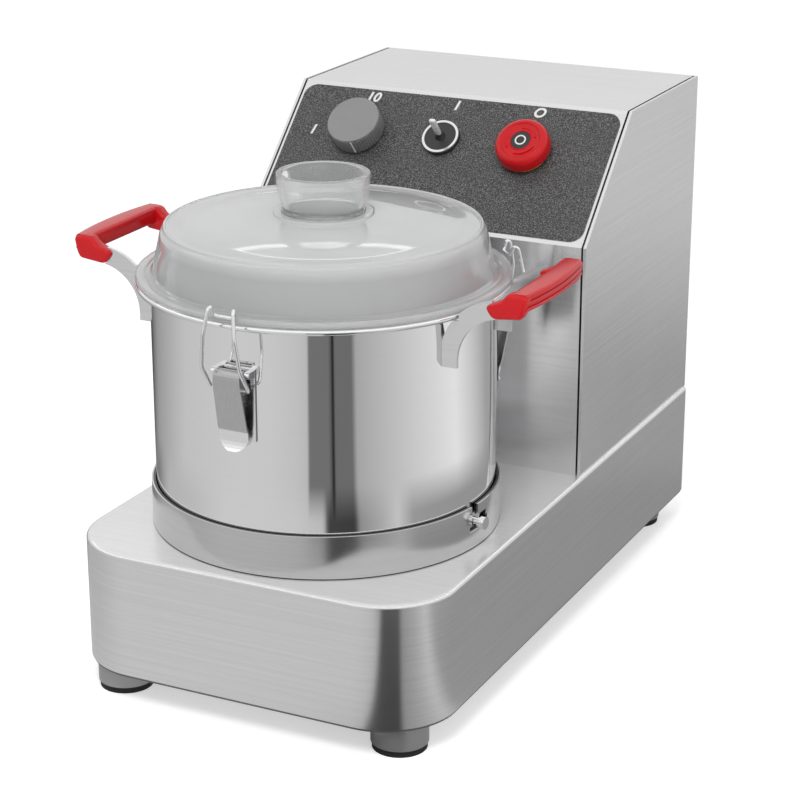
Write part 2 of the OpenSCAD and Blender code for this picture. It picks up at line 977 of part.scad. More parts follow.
module control_board() {
    x = motor_r + board_motor_gap;
    board_w = front_half_w - board_side_gap - x;
    y = motor_y - board_len / 2;
    deck_z = base_top_z + board_post_h;
    color("green") {
        for (px = [board_post_r, board_w - board_post_r], py = [board_post_r, board_len - board_post_r])
            translate([x + px, y + py, base_top_z])
                cylinder(h = board_post_h, r = board_post_r);
        translate([x, y, deck_z])
            cube([board_w, board_len, board_t]);
        translate([x + board_w - sink_w, y + board_post_h, deck_z])
            cube([sink_w, sink_len, sink_h]);
        translate([x + board_w - capacitor_r, y + board_len - capacitor_r, deck_z])
            cylinder(h = capacitor_h, r = capacitor_r);
        translate([x + board_post_r, y + board_post_h, deck_z])
            cube([relay_w, relay_w, relay_h]);
    }
}

module motor_mount() {
    color("darkgray")
        translate([0, motor_y, base_top_z])
            tube(mount_r, mount_hole_r, mount_t);
}

module at_motor(h) {
    translate([0, motor_y, motor_z + h])
        children();
}

module motor_housing() {
    bearing_r = motor_shaft_r + bearing_out + weld_gap;
    color("steelblue")
        difference() {
            at_motor(0)
                cylinder(h = motor_h, r = motor_r);
            at_motor(motor_cap_t)
                cylinder(h = motor_h - 2 * motor_cap_t, r = motor_r - motor_wall);
            at_motor(-over)
                cylinder(h = motor_h + over - bearing_seat, r = motor_shaft_r + rotor_gap);
            at_motor(bearing_seat)
                cylinder(h = motor_cap_t, r = bearing_r);
            at_motor(motor_h - bearing_seat - bearing_t)
                cylinder(h = bearing_t, r = bearing_r);
            at_motor(motor_h - motor_cap_t - over)
                cylinder(h = motor_cap_t - bearing_seat, r = bearing_r);
        }
}

module bearing(shaft_r) {
    out_r = shaft_r + bearing_out;
    difference() {
        tube(out_r, shaft_r + fit_gap, bearing_t);
        for (z = [-over, bearing_t - bearing_groove])
            translate([0, 0, z])
                tube(out_r - bearing_race, shaft_r + bearing_race, bearing_groove + over);
    }
}

module motor_bearings() {
    color("gray") {
        at_motor(bearing_seat)
            bearing(motor_shaft_r);
        at_motor(motor_h - bearing_seat - bearing_t)
            bearing(motor_shaft_r);
    }
}

module motor_stator() {
    color("peru")
        at_motor(motor_cap_t + stator_gap)
            tube(
                motor_r - motor_wall - weld_gap,
                motor_r - motor_wall - weld_gap - stator_t,
                motor_h - 2 * (motor_cap_t + stator_gap)
            );
}

module rotor_core() {
    color("darkgray")
        at_motor(motor_cap_t + stator_gap)
            tube(
                motor_r - motor_wall - weld_gap - stator_t - rotor_gap,
                motor_shaft_r + weld_gap,
                motor_h - 2 * (motor_cap_t + stator_gap)
            );
}

module motor_shaft() {
    low_z = belt_z - shaft_low;
    color("gainsboro")
        translate([0, motor_y, low_z])
            cylinder(h = motor_z + motor_h - bearing_seat - free_gap - low_z, r = motor_shaft_r);
}

// A flanged pulley, with its groove a free gap inside the belt
module pulley(at, run_r, shaft_r) {
    groove_h = belt_w + 2 * free_gap;
    translate([at[0], at[1], belt_z - groove_h / 2 - pulley_flange_t])
        difference() {
            union() {
                cylinder(h = groove_h + 2 * pulley_flange_t, r = run_r - free_gap);
                cylinder(h = pulley_flange_t, r = run_r + pulley_flange_out);
                translate([0, 0, groove_h + pulley_flange_t])
                    cylinder(h = pulley_flange_t, r = run_r + pulley_flange_out);
            }
            translate([0, 0, -over])
                cylinder(h = groove_h + 2 * pulley_flange_t + 2 * over, r = shaft_r + weld_gap);
        }
}

module motor_pulley() {
    color("darkgray")
        pulley(motor_at, motor_pulley_r, motor_shaft_r);
}

module spindle_pulley() {
    color("darkgray")
        pulley(spindle_at, spindle_pulley_r, spindle_r);
}

// Outline of a loop round both pulleys, a set distance outside their running radii
module belt_outline(out) {
    centres = motor_y - bowl_y;
    tilt = asin((spindle_pulley_r - motor_pulley_r) / centres);
    near_r = spindle_pulley_r + out;
    far_r = motor_pulley_r + out;
    side = [cos(tilt), sin(tilt)];
    union() {
        translate(spindle_at)
            circle(near_r);
        translate(motor_at)
            circle(far_r);
        polygon([
            spindle_at + near_r * [side[0], side[1]],
            motor_at + far_r * [side[0], side[1]],
            motor_at + far_r * [-side[0], side[1]],
            spindle_at + near_r * [-side[0], side[1]]
        ]);
    }
}

module belt() {
    color("black")
        translate([0, 0, belt_z - belt_w / 2])
            linear_extrude(belt_w)
                difference() {
                    belt_outline(belt_t);
                    belt_outline(0);
                }
}

module bearing_housing() {
    barrel_r_out = spindle_r + bearing_out + barrel_wall;
    low_z = base_under_z - barrel_low;
    color("darkgray")
        translate([0, bowl_y, 0])
            difference() {
                union() {
                    translate([0, 0, low_z])
                        cylinder(h = barrel_low, r = barrel_r_out);
                    translate([0, 0, base_under_z - housing_flange_t])
                        cylinder(h = housing_flange_t, r = housing_flange_r);
                    translate([0, 0, base_under_z - over])
                        cylinder(h = sheet_t + neck_h + over, r = neck_r);
                }
                translate([0, 0, low_z - over])
                    cylinder(h = base_d, r = spindle_r + spindle_clear);
                for (z = bearing_levels())
                    translate([0, 0, z])
                        cylinder(h = bearing_t, r = spindle_r + bearing_out + weld_gap);
                translate([0, 0, low_z - over])
                    cylinder(h = over + bearing_seat / 2, r = spindle_r + bearing_out + weld_gap);
                translate([0, 0, base_top_z + neck_h - seal_depth])
                    cylinder(h = seal_depth + over, r = neck_r - seal_wall);
            }
}

// Heights of the two spindle bearings
function bearing_levels() = [
    base_under_z - barrel_low + bearing_seat / 2,
    base_under_z - housing_flange_t - bearing_t
];

module spindle_bearings() {
    color("gray")
        at_bowl()
            for (z = bearing_levels())
                translate([0, 0, z])
                    bearing(spindle_r);
}

module spindle_seal() {
    color("saddlebrown")
        translate([0, bowl_y, base_top_z + neck_h - seal_depth])
            tube(neck_r - seal_wall - weld_gap, spindle_r + fit_gap, seal_depth);
}

module spindle() {
    low_z = belt_z - shaft_low;
    color("gainsboro")
        at_bowl() {
            translate([0, 0, low_z])
                cylinder(h = shoulder_top_z - low_z, r = spindle_r);
            translate([0, 0, low_z])
                cylinder(h = spindle_top_z - low_z, r = hub_bore_r);
        }
}

module bowl_bush() {
    color("ivory")
        translate([0, bowl_y, base_top_z + free_gap])
            difference() {
                union() {
                    cylinder(h = bush_foot_t, r = bush_foot_r);
                    cylinder(h = bush_h, r = bush_r);
                }
                translate([0, 0, -over])
                    cylinder(h = bush_h + 2 * over, r = neck_r + free_gap);
            }
}

// A quarter of a ring about its corner, by the signs of the quarter
module quarter_ring(r, t, x_sign, z_sign) {
    intersection() {
        difference() {
            circle(r);
            circle(r - t);
        }
        scale([x_sign, z_sign])
            square(r);
    }
}

// The bowl's floor, pressed with the bend that its wall stands on
module bowl_floor() {
    color("lightgray")
        at_bowl()
            rotate_extrude()
                union() {
                    translate([tube_outer_r + weld_gap, bowl_floor_z])
                        square([bowl_r - bowl_corner_r - tube_outer_r - weld_gap, bowl_wall]);
                    translate([bowl_r - bowl_corner_r, bowl_floor_z + bowl_corner_r])
                        quarter_ring(bowl_corner_r, bowl_wall, 1, -1);
                }
}

module bowl_tube() {
    color("lightgray")
        translate([0, bowl_y, bowl_floor_z])
            tube(tube_outer_r, tube_r, tube_h);
}

// The bowl's wall with its flange and rolled rim
module bowl() {
    wall_top_z = rim_z - rim_bend_r - bowl_wall;
    color("lightgray")
        at_bowl()
            rotate_extrude()
                union() {
                    translate([bowl_r - bowl_wall, bowl_floor_z + bowl_corner_r])
                        square([bowl_wall, wall_top_z - bowl_floor_z - bowl_corner_r]);
                    translate([bowl_r + rim_bend_r, wall_top_z])
                        quarter_ring(rim_bend_r + bowl_wall, bowl_wall, -1, 1);
                    translate([bowl_r + rim_bend_r, rim_z - bowl_wall])
                        square([rim_r - roll_r - bowl_r - rim_bend_r, bowl_wall]);
                    translate([rim_r - roll_r, rim_z - roll_r])
                        circle(roll_r);
                }
}

module bowl_studs() {
    head_r = bowl_r + ring_wall + stud_head_gap;
    color("gainsboro")
        difference() {
            for (angle = stud_angles)
                around_bowl(angle)
                    translate([0, 0, base_top_z + stud_h]) {
                        rod([bowl_r - over, 0, 0], [head_r + stud_head_t / 2, 0, 0], stud_r);
                        rod([head_r, 0, 0], [head_r + stud_head_t, 0, 0], stud_head_r);
                    }
            translate([0, bowl_y, base_top_z])
                cylinder(h = bowl_h, r = bowl_r + weld_gap);
        }
}

// Outline of one arm of a handle, along its radius and height
module arm_outline() {
    centre = [bowl_r + arm_centre_out, rim_z - arm_centre_drop];
    outer = arm_bend_r + arm_w;
    grip_z = rim_z + grip_rise;
    difference() {
        union() {
            intersection() {
                translate(centre)
                    difference() {
                        circle(outer);
                        circle(arm_bend_r);
                    }
                translate(centre)
                    polygon(concat([[0, 0]], arc_points([0, 0], 2 * outer, arm_end_angle, 180, 4)));
            }
            translate(centre - [outer, arm_foot_h])
                square([arm_w, arm_foot_h]);
            polygon([
                centre + (arm_bend_r + arm_t / 2) * [cos(arm_lap_angle), sin(arm_lap_angle)],
                [bowl_r + grip_rod_in + grip_rod_w, grip_z - grip_rod_drop - grip_rod_w / 2],
                [bowl_r + grip_rod_in + grip_rod_w, grip_z - grip_rod_drop + grip_rod_w],
                centre + (outer - arm_t) * [cos(arm_lap_angle), sin(arm_lap_angle)]
            ]);
        }
        translate([0, rim_z - 2 * roll_r - arm_rim_gap])
            square([arm_keep_out(), 2 * roll_r + free_gap + lid_rim_t + 2 * arm_rim_gap]);
    }
}

// Distance out at which an arm clears the rim
function arm_keep_out() = sqrt(pow(rim_r + arm_rim_gap, 2) - pow(handle_half_w - arm_t, 2));

module handle_straps() {
    rod_half = handle_half_w - arm_t / 2;
    color("silver")
        for (turn = handle_angles)
            around_bowl(turn)
                handle_strap(rod_half);
}

module handle_strap(rod_half) {
    difference() {
        union() {
            for (y = [-rod_half, rod_half])
                translate([0, y, 0])
                    across(arm_t)
                        arm_outline();
            translate([
                bowl_r + grip_rod_in,
                -rod_half,
                rim_z + grip_rise - grip_rod_drop
            ])
                cube([grip_rod_w, 2 * rod_half, grip_rod_w]);
        }
        cylinder(h = rim_z, r = bowl_r + weld_gap);
    }
}

// Outline of the end caps of a grip, along their radius and height
module cap_outline() {
    translate([bowl_r, rim_z])
        polygon(grip_rise * grip_cap_shares);
}

module handle_grips() {
    color("crimson")
        for (turn = handle_angles)
            around_bowl(turn)
                handle_grip();
}

module handle_grip() {
    half = handle_half_w + (grip_cap_t - arm_t) / 2;
    bow_r = (half * half + grip_bow * grip_bow) / 2 / grip_bow;
    end_x = bowl_r + grip_in + grip_w;
    bow_x = end_x + grip_bow - bow_r;
    bar_z = rim_z + grip_rise - grip_h;
    difference() {
        union() {
            for (y = [-1, 1])
                translate([0, y * (half - grip_cap_t / 2), 0])
                    across(grip_cap_t)
                        cap_outline();
            translate([0, 0, bar_z])
                linear_extrude(grip_h)
                    intersection() {
                        translate([bow_x, 0])
                            circle(bow_r, $fn = 720);
                        translate([bowl_r + grip_in, -half])
                            square([grip_w + 2 * grip_bow, 2 * half]);
                    }
        }
        for (y = [-1, 1])
            translate([0, y * (handle_half_w - arm_t / 2), 0])
                across(arm_t + 2 * weld_gap)
                    arm_pocket();
        translate([
            bowl_r + grip_rod_in - weld_gap,
            -handle_half_w + arm_t / 2,
            rim_z + grip_rise - grip_rod_drop - weld_gap
        ])
            cube([
                grip_rod_w + 2 * weld_gap, 2 * handle_half_w - arm_t, grip_rod_w + 2 * weld_gap
            ]);
        for (level = [1, 2])
            translate([bow_x, 0, bar_z + level * grip_h / 3 - groove_w / 2])
                difference() {
                    cylinder(h = groove_w, r = bow_r + over, $fn = 720);
                    translate([0, 0, -over])
                        cylinder(h = groove_w + 2 * over, r = bow_r - groove_d, $fn = 720);
                }
    }
}

// Slot in a grip for the end of an arm, a joining gap larger all round
module arm_pocket() {
    centre = [bowl_r + arm_centre_out, rim_z - arm_centre_drop];
    outer = arm_bend_r + arm_w;
    grip_z = rim_z + grip_rise;
    rod_out = bowl_r + grip_rod_in + grip_rod_w + weld_gap;
    union() {
        translate(centre)
            difference() {
                circle(outer + weld_gap);
                circle(arm_bend_r - weld_gap);
            }
        polygon([
            centre + arm_bend_r * [cos(arm_lap_angle), sin(arm_lap_angle)],
            [rod_out, grip_z - grip_rod_drop - grip_rod_w / 2 - weld_gap],
            [rod_out, grip_z - grip_rod_drop + grip_rod_w + weld_gap],
            centre + outer * [cos(arm_lap_angle), sin(arm_lap_angle)]
        ]);
    }
}

// Heights of the latch parts
function hinge_at() = [bowl_r + hinge_out, rim_z - hinge_drop];
function bail_pivot() = [bowl_r + bail_out, rim_z - bail_drop];

module latch_plates() {
    half_angle = asin(latch_half_w / bowl_r);
    plate_r = bowl_r + latch_plate_t;
    hinge = hinge_at();
    color("gainsboro")
        for (angle = latch_angles)
            around_bowl(angle)
                difference() {
                    union() {
                        translate([0, 0, rim_z - latch_top_drop - latch_plate_h])
                            rotate([0, 0, -half_angle])
                                rotate_extrude(angle = 2 * half_angle)
                                    translate([bowl_r + weld_gap, 0])
                                        square([latch_plate_t - weld_gap, latch_plate_h]);
                        for (y = [-1, 1])
                            translate([0, y * (latch_half_w - knuckle_w / 2), 0])
                                across(knuckle_w) {
                                    translate(hinge)
                                        circle(barrel_r);
                                    translate([bowl_r - over, hinge[1] - barrel_r])
                                        square([hinge_out + over, 2 * barrel_r]);
                                }
                    }
                    translate([0, 0, hinge[1] - 2 * barrel_r])
                        cylinder(h = 4 * barrel_r, r = bowl_r + weld_gap);
                    translate([hinge[0], 0, hinge[1]])
                        rotate([90, 0, 0])
                            cylinder(h = 4 * latch_half_w, r = pin_r + weld_gap, center = true);
                }
}

module latch_pins() {
    hinge = hinge_at();
    color("gainsboro")
        for (angle = latch_angles)
            around_bowl(angle)
                translate([hinge[0], 0, hinge[1]])
                    rotate([90, 0, 0])
                        cylinder(h = 2 * latch_half_w, r = pin_r, center = true);
}

// Centre line of a lever's sheet, from its top edge to its curled tip
function lever_line() =
    let (
        top = [bowl_r + hinge_out + lever_lip_share * barrel_r, rim_z - hinge_drop + barrel_r],
        bulge = [bowl_r + hinge_out + lever_bulge_share * barrel_r, rim_z - hinge_drop + barrel_r / 2],
        shoulder = [bowl_r + hinge_out + lever_shoulder_share * barrel_r, rim_z - bail_drop + wire_d],
        waist = [bowl_r + hinge_out, rim_z - lever_drop + lever_waist_share * lever_tip_r],
        heel = [bowl_r + hinge_out / 2, rim_z - lever_drop + lever_tip_r / 2],
        tip = [bowl_r + hinge_out + barrel_r / 2, rim_z - lever_drop]
    )
    concat(
        bend_points(top, bulge, shoulder),
        [waist],
        bend_points(waist - [barrel_r / 2, barrel_r], heel, tip)
    );

module lever(angle) {
    hinge = hinge_at();
    pivot = bail_pivot();
    barrel_half = latch_half_w - knuckle_w - free_gap;
    cheek = barrel_half - lever_cheek_t / 2;
    tip_z = rim_z - lever_drop + lever_tip_r;
    color("gainsboro")
        around_bowl(angle)
            difference() {
                union() {
                    intersection() {
                        across(4 * lever_tip_r)
                            strip(lever_line(), lever_t);
                        translate([bowl_r, 0, 0])
                            rotate([90, 0, 90])
                                linear_extrude(bowl_r)
                                    union() {
                                        translate([0, tip_z])
                                            circle(lever_tip_r);
                                        polygon([
                                            [-lever_tip_r, tip_z],
                                            [lever_tip_r, tip_z],
                                            [lever_top_half_w, hinge[1] + 2 * barrel_r],
                                            [-lever_top_half_w, hinge[1] + 2 * barrel_r]
                                        ]);
                                    }
                    }
                    translate([hinge[0], 0, hinge[1]])
                        rotate([90, 0, 0])
                            cylinder(h = 2 * barrel_half, r = barrel_r, center = true);
                    for (y = [-cheek, cheek])
                        translate([0, y, 0])
                            across(lever_cheek_t)
                                polygon([
                                    hinge + [0, barrel_r],
                                    hinge + [lever_lip_share * barrel_r, barrel_r],
                                    hinge + [lever_shoulder_share * barrel_r, 0],
                                    pivot + [lever_lip_share * barrel_r, 0],
                                    pivot + [barrel_r, -barrel_r],
                                    pivot + [-barrel_r, -barrel_r],
                                    hinge + [-barrel_r, 0]
                                ]);
                }
                translate([hinge[0], 0, hinge[1]])
                    rotate([90, 0, 0])
                        cylinder(h = 4 * latch_half_w, r = pin_r + fit_gap, center = true);
                translate([pivot[0], 0, pivot[1]])
                    rotate([90, 0, 0])
                        cylinder(h = 4 * latch_half_w, r = wire_r + fit_gap, center = true);
            }
}

module bail(angle) {
    pivot = bail_pivot();
    hook_r = rim_r + wire_r + free_gap;
    inner = latch_half_w - knuckle_w - free_gap - 2 * lever_cheek_t;
    outer = latch_half_w;
    bow = [for (share = bail_bow_shares) pivot[0] + share * bail_out];
    level = [for (share = bail_level_shares) rim_z + share * bail_drop];
    half_w = [for (share = bail_width_shares) share * outer];
    hook_z = lid_rim_z + wire_r / 2;
    half_path = [
        [pivot[0], inner, pivot[1]],
        [pivot[0], outer, pivot[1]],
        [bow[0], outer, level[0]],
        [bow[1], half_w[0], level[1]],
        [bow[2], half_w[1], level[2]],
        [hook_r + wire_d, half_w[2], level[2] + wire_r],
        [hook_r, half_w[3], hook_z]
    ];
    path = concat(
        half_path,
        [for (i = [len(half_path) - 1 : -1 : 0]) [half_path[i][0], -half_path[i][1], half_path[i][2]]]
    );
    color("gainsboro")
        around_bowl(angle)
            wire(path, wire_r);
}

// Centre line of the lid's wall from its foot to its collar
function lid_line() =
    let (
        foot = [rim_r - lid_foot_in - lid_wall / 2, lid_z + lid_rim_t / 2],
        bend = [rim_r - lid_shoulder_in, shoulder_z] - [lid_bend_r, lid_bend_r]
    )
    concat(
        [foot],
        arc_points(bend, lid_bend_r - lid_wall / 2, 10, 90, 6),
        bend_points(
            [bend[0] - lid_bend_r, shoulder_z - lid_wall / 2],
            [bowl_r / 2, crown_z - lid_wall / 2],
            [feed_hole_r + boss_wall, crown_z - lid_wall / 2],
            8
        )
    );

module lid() {
    color("azure", 0.4)
        at_bowl()
            rotate_extrude()
                difference() {
                    union() {
                        strip(lid_line(), lid_wall);
                        translate([rim_r - lid_foot_in - lid_wall, lid_z])
                            square([lid_foot_in + lid_wall - lid_rim_t / 2, lid_rim_t]);
                        translate([rim_r - lid_rim_t / 2, lid_z + lid_rim_t / 2])
                            circle(lid_rim_t / 2);
                        translate([rim_r - lid_shoulder_in - lid_bend_r / 2, shoulder_z - bead_r / 2])
                            circle(bead_r);
                        translate([feed_hole_r, crown_z - boss_h])
                            square([boss_wall, boss_h + collar_t]);
                        translate([feed_hole_r, crown_z - lid_wall / 2])
                            square([collar_r - feed_hole_r, collar_t + lid_wall / 2]);
                    }
                    translate([rim_r - seal_in - seal_w - weld_gap, lid_z - over])
                        square([seal_w + 2 * weld_gap, seal_t + over]);
                }
}

module lid_seal() {
    color("white")
        translate([0, bowl_y, lid_z])
            tube(rim_r - seal_in, rim_r - seal_in - seal_w, seal_t - weld_gap);
}

module feed_cup() {
    plug_r = feed_hole_r - cup_plug_gap;
    seat_z = collar_z + free_gap;
    mouth_z = collar_z + cup_h;
    foot_z = seat_z - cup_plug_h;
    waist_z = seat_z + cup_step_t;
    flange_r = plug_r + cup_step + cup_plug_gap;
    outer = concat(
        [[0, foot_z], [plug_r - cup_step, foot_z], [plug_r, foot_z + cup_step]],
        [[plug_r, seat_z], [flange_r, seat_z], [flange_r, waist_z]],
        bend_points(
            [cup_waist_r, waist_z],
            [cup_mouth_r, waist_z + cup_h * cup_belly_share],
            [cup_mouth_r, mouth_z - cup_lip_t / 2],
            6
        ),
        [[cup_mouth_r - cup_lip_t / 2, mouth_z], [cup_mouth_r - cup_wall, mouth_z]]
    );
    inner = [
        [cup_mouth_r - cup_wall - cup_step, mouth_z - cup_lip_t],
        [cup_waist_r - cup_wall, waist_z + cup_wall],
        [plug_r - 2 * cup_wall, foot_z + cup_foot_t],
        [0, foot_z + cup_foot_t]
    ];
    color("azure", 0.4)
        at_bowl()
            rotate_extrude()
                polygon(concat(outer, inner));
}

module blade_hub() {
    color("silver")
        at_bowl()
            difference() {
                union() {
                    translate([0, 0, hub_z])
                        cylinder(h = hub_top_z - hub_z, r = sleeve_r);
                    translate([0, 0, hub_z])
                        cylinder(h = hub_foot_t, r = hub_foot_r);
                }
                translate([0, 0, hub_z - over])
                    cylinder(h = hub_cap_z - hub_z + over, r = sleeve_in_r);
                translate([0, 0, hub_z])
                    cylinder(h = base_d, r = hub_bore_r + fit_gap);
            }
}

// Outline of a two-armed sickle blade
module blade_outline() {
    back_fall = knife_r * blade_fall_share;
    back_r = norm([knife_r / 2, back_fall]);
    edge_x = knife_r * blade_edge_shares[0];
    edge_fall = knife_r * blade_edge_shares[1];
    edge_r = norm([knife_r - edge_x, edge_fall]);
    root_w = knife_r * blade_root_share;
    difference() {
        union() {
            circle(hub_foot_r);
            for (turn = [0, 180])
                rotate(turn)
                    intersection() {
                        difference() {
                            translate([knife_r / 2, -back_fall])
                                circle(back_r);
                            translate([edge_x, -edge_fall])
                                circle(edge_r);
                        }
                        translate([0, -root_w])
                            square([knife_r, 2 * knife_r]);
                    }
        }
        circle(sleeve_r + weld_gap);
    }
}

module lower_blade() {
    color("lightsteelblue")
        translate([0, bowl_y, lower_blade_z])
            linear_extrude(blade_t)
                blade_outline();
}

module upper_blade() {
    color("lightsteelblue")
        translate([0, bowl_y, upper_blade_z])
            rotate([0, 0, 90])
                linear_extrude(blade_t)
                    blade_outline();
}

module blade_spacers() {
    color("gray")
        at_bowl() {
            translate([0, 0, lower_blade_z + blade_t])
                tube(hub_foot_r, sleeve_r + weld_gap, blade_pitch - blade_t);
            translate([0, 0, upper_blade_z + blade_t])
                tube(hub_foot_r, sleeve_r + weld_gap, knob_skirt_z - upper_blade_z - blade_t);
        }
}

module blade_knob() {
    roof_z = hub_top_z + knob_roof_t;
    color("black")
        at_bowl()
            difference() {
                union() {
                    translate([0, 0, knob_skirt_z])
                        cylinder(h = roof_z - knob_skirt_z, r = hub_foot_r);
                    translate([0, 0, hub_top_z])
                        cylinder(h = knob_roof_t + knob_grip_h, r = knob_grip_r);
                }
                translate([0, 0, knob_skirt_z - over])
                    cylinder(h = knob_wrap + over, r = sleeve_r + weld_gap);
                translate([0, 0, hub_top_z - over])
                    cylinder(h = spindle_top_z + over + free_gap - hub_top_z, r = hub_bore_r + fit_gap);
                for (i = [0 : knob_lobes - 1])
                    rotate([0, 0, 360 * i / knob_lobes])
                        translate([knob_grip_r + lobe_r / 2, 0, roof_z])
                            cylinder(h = knob_grip_h + over, r = lobe_r);
            }
}

base_shell();
base_plate();
foot_cups();
foot_pads();
bowl_ring();
console_front();
console_side(-1);  // console_side_left
console_side(1);  // console_side_right
console_rear();
control_label();
speed_pot();
switch_bezel();
switch_body();
stop_collar();
stop_contact_block();
control_board();
motor_mount();
motor_housing();
motor_stator();
motor_bearings();
bearing_housing();
spindle_bearings();
spindle_seal();
inlet_gland();
casing_screws();
belt();
motor_shaft();
rotor_core();
motor_pulley();
spindle();
spindle_pulley();
bowl_bush();
bowl();
bowl_floor();
bowl_tube();
bowl_studs();
handle_straps();
handle_grips();
latch_plates();
latch_pins();
lever(latch_angles[0]);  // front_lever
lever(latch_angles[1]);  // right_lever
lever(latch_angles[2]);  // left_lever
bail(latch_angles[0]);  // front_bail
bail(latch_angles[1]);  // right_bail
bail(latch_angles[2]);  // left_bail
lid();
lid_seal();
feed_cup();
blade_hub();
lower_blade();
upper_blade();
blade_spacers();
blade_knob();
pot_shaft();
speed_knob();
knob_cap();
switch_lever();
stop_stem();
stop_button();
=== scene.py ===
import json
import math

import bmesh
import bpy
from mathutils import Matrix, Vector


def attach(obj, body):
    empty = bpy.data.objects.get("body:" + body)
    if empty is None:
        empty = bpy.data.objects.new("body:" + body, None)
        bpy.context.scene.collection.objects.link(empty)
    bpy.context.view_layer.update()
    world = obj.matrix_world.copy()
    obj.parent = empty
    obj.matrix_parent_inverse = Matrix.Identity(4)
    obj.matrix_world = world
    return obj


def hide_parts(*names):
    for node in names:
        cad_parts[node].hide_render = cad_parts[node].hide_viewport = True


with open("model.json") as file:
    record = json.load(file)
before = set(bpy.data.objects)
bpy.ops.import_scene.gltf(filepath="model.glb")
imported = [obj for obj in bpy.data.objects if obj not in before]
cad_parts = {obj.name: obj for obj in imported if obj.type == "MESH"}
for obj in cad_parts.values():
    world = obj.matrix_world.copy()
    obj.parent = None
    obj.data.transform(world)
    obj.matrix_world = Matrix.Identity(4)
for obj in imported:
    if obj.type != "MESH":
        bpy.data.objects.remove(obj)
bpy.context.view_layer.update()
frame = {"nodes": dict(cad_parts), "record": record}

scene = bpy.context.scene
scene.view_settings.view_transform = "Standard"

# Lengths are in millimetres, in the part's own frame, and MM turns them into Blender's metres
MM = 0.001
BOWL_Y = -129.5
BOWL_R = 128.5
RIM_Z = 310.0
CONSOLE_Y = 22.0
FOLD_Z = 308.9
WIRE_R = 1.4
WIRE_BEND = 3.2
BAIL_PIVOT = (136.7, 261.6)
LATCH_ANGLES = {"front": -91.0, "right": 41.0, "left": 139.0}

# The sloping panel: its angle, and places across and up it from its fold
PANEL = math.atan2(89.2, 92.1)
KNOB = (-77.5, 81.8)
SWITCH = (-3.2, 82.7)
STOP = (71.4, 80.0)
KNOB_LIFT = 2.5
TOGGLE_LIFT = 3.0
MARK_LIFT = 1.04
MARK_SIZE = 12.5
MARK_SLANT = 0.18
MARK_HALF_THICK = 0.02
MARK_BOLD = 0.42

# Widths of the small bevels that catch the light
BEVELS = {"console_front": 0.7, "console_side_left": 0.7, "console_side_right": 0.7, "console_rear": 0.5,
          "control_label": 0.25, "latch_plates": 0.3, "front_lever": 0.3, "right_lever": 0.3,
          "left_lever": 0.3, "handle_straps": 0.35, "switch_bezel": 0.35, "stop_collar": 0.4,
          "bowl_studs": 0.3}

# Colours, and how far the noise of a surface is drawn out along X, Y and Z
STEEL = (0.775, 0.775, 0.78)
BRIGHT_STEEL = (0.86, 0.86, 0.865)
SHADE = (0.05, 0.05, 0.05)
EVEN = (1, 1, 1)
STEEL_LINES = (5, 5, 520)
BRIGHT_LINES = (5, 5, 900)

# Relief in metres, and the lean of the direction in which brushed steel draws reflections out
FINE_RELIEF = 0.0002
BRUSH_LEAN = 0.15

# The metal share of flat tops and of the bowl's inside, and the roughness that the inside adds
FLAT_METAL = 0.4
INSIDE_METAL = 0.35
INSIDE_ROUGHNESS = 0.3
PLASTIC_IOR = 1.46


# Shaders

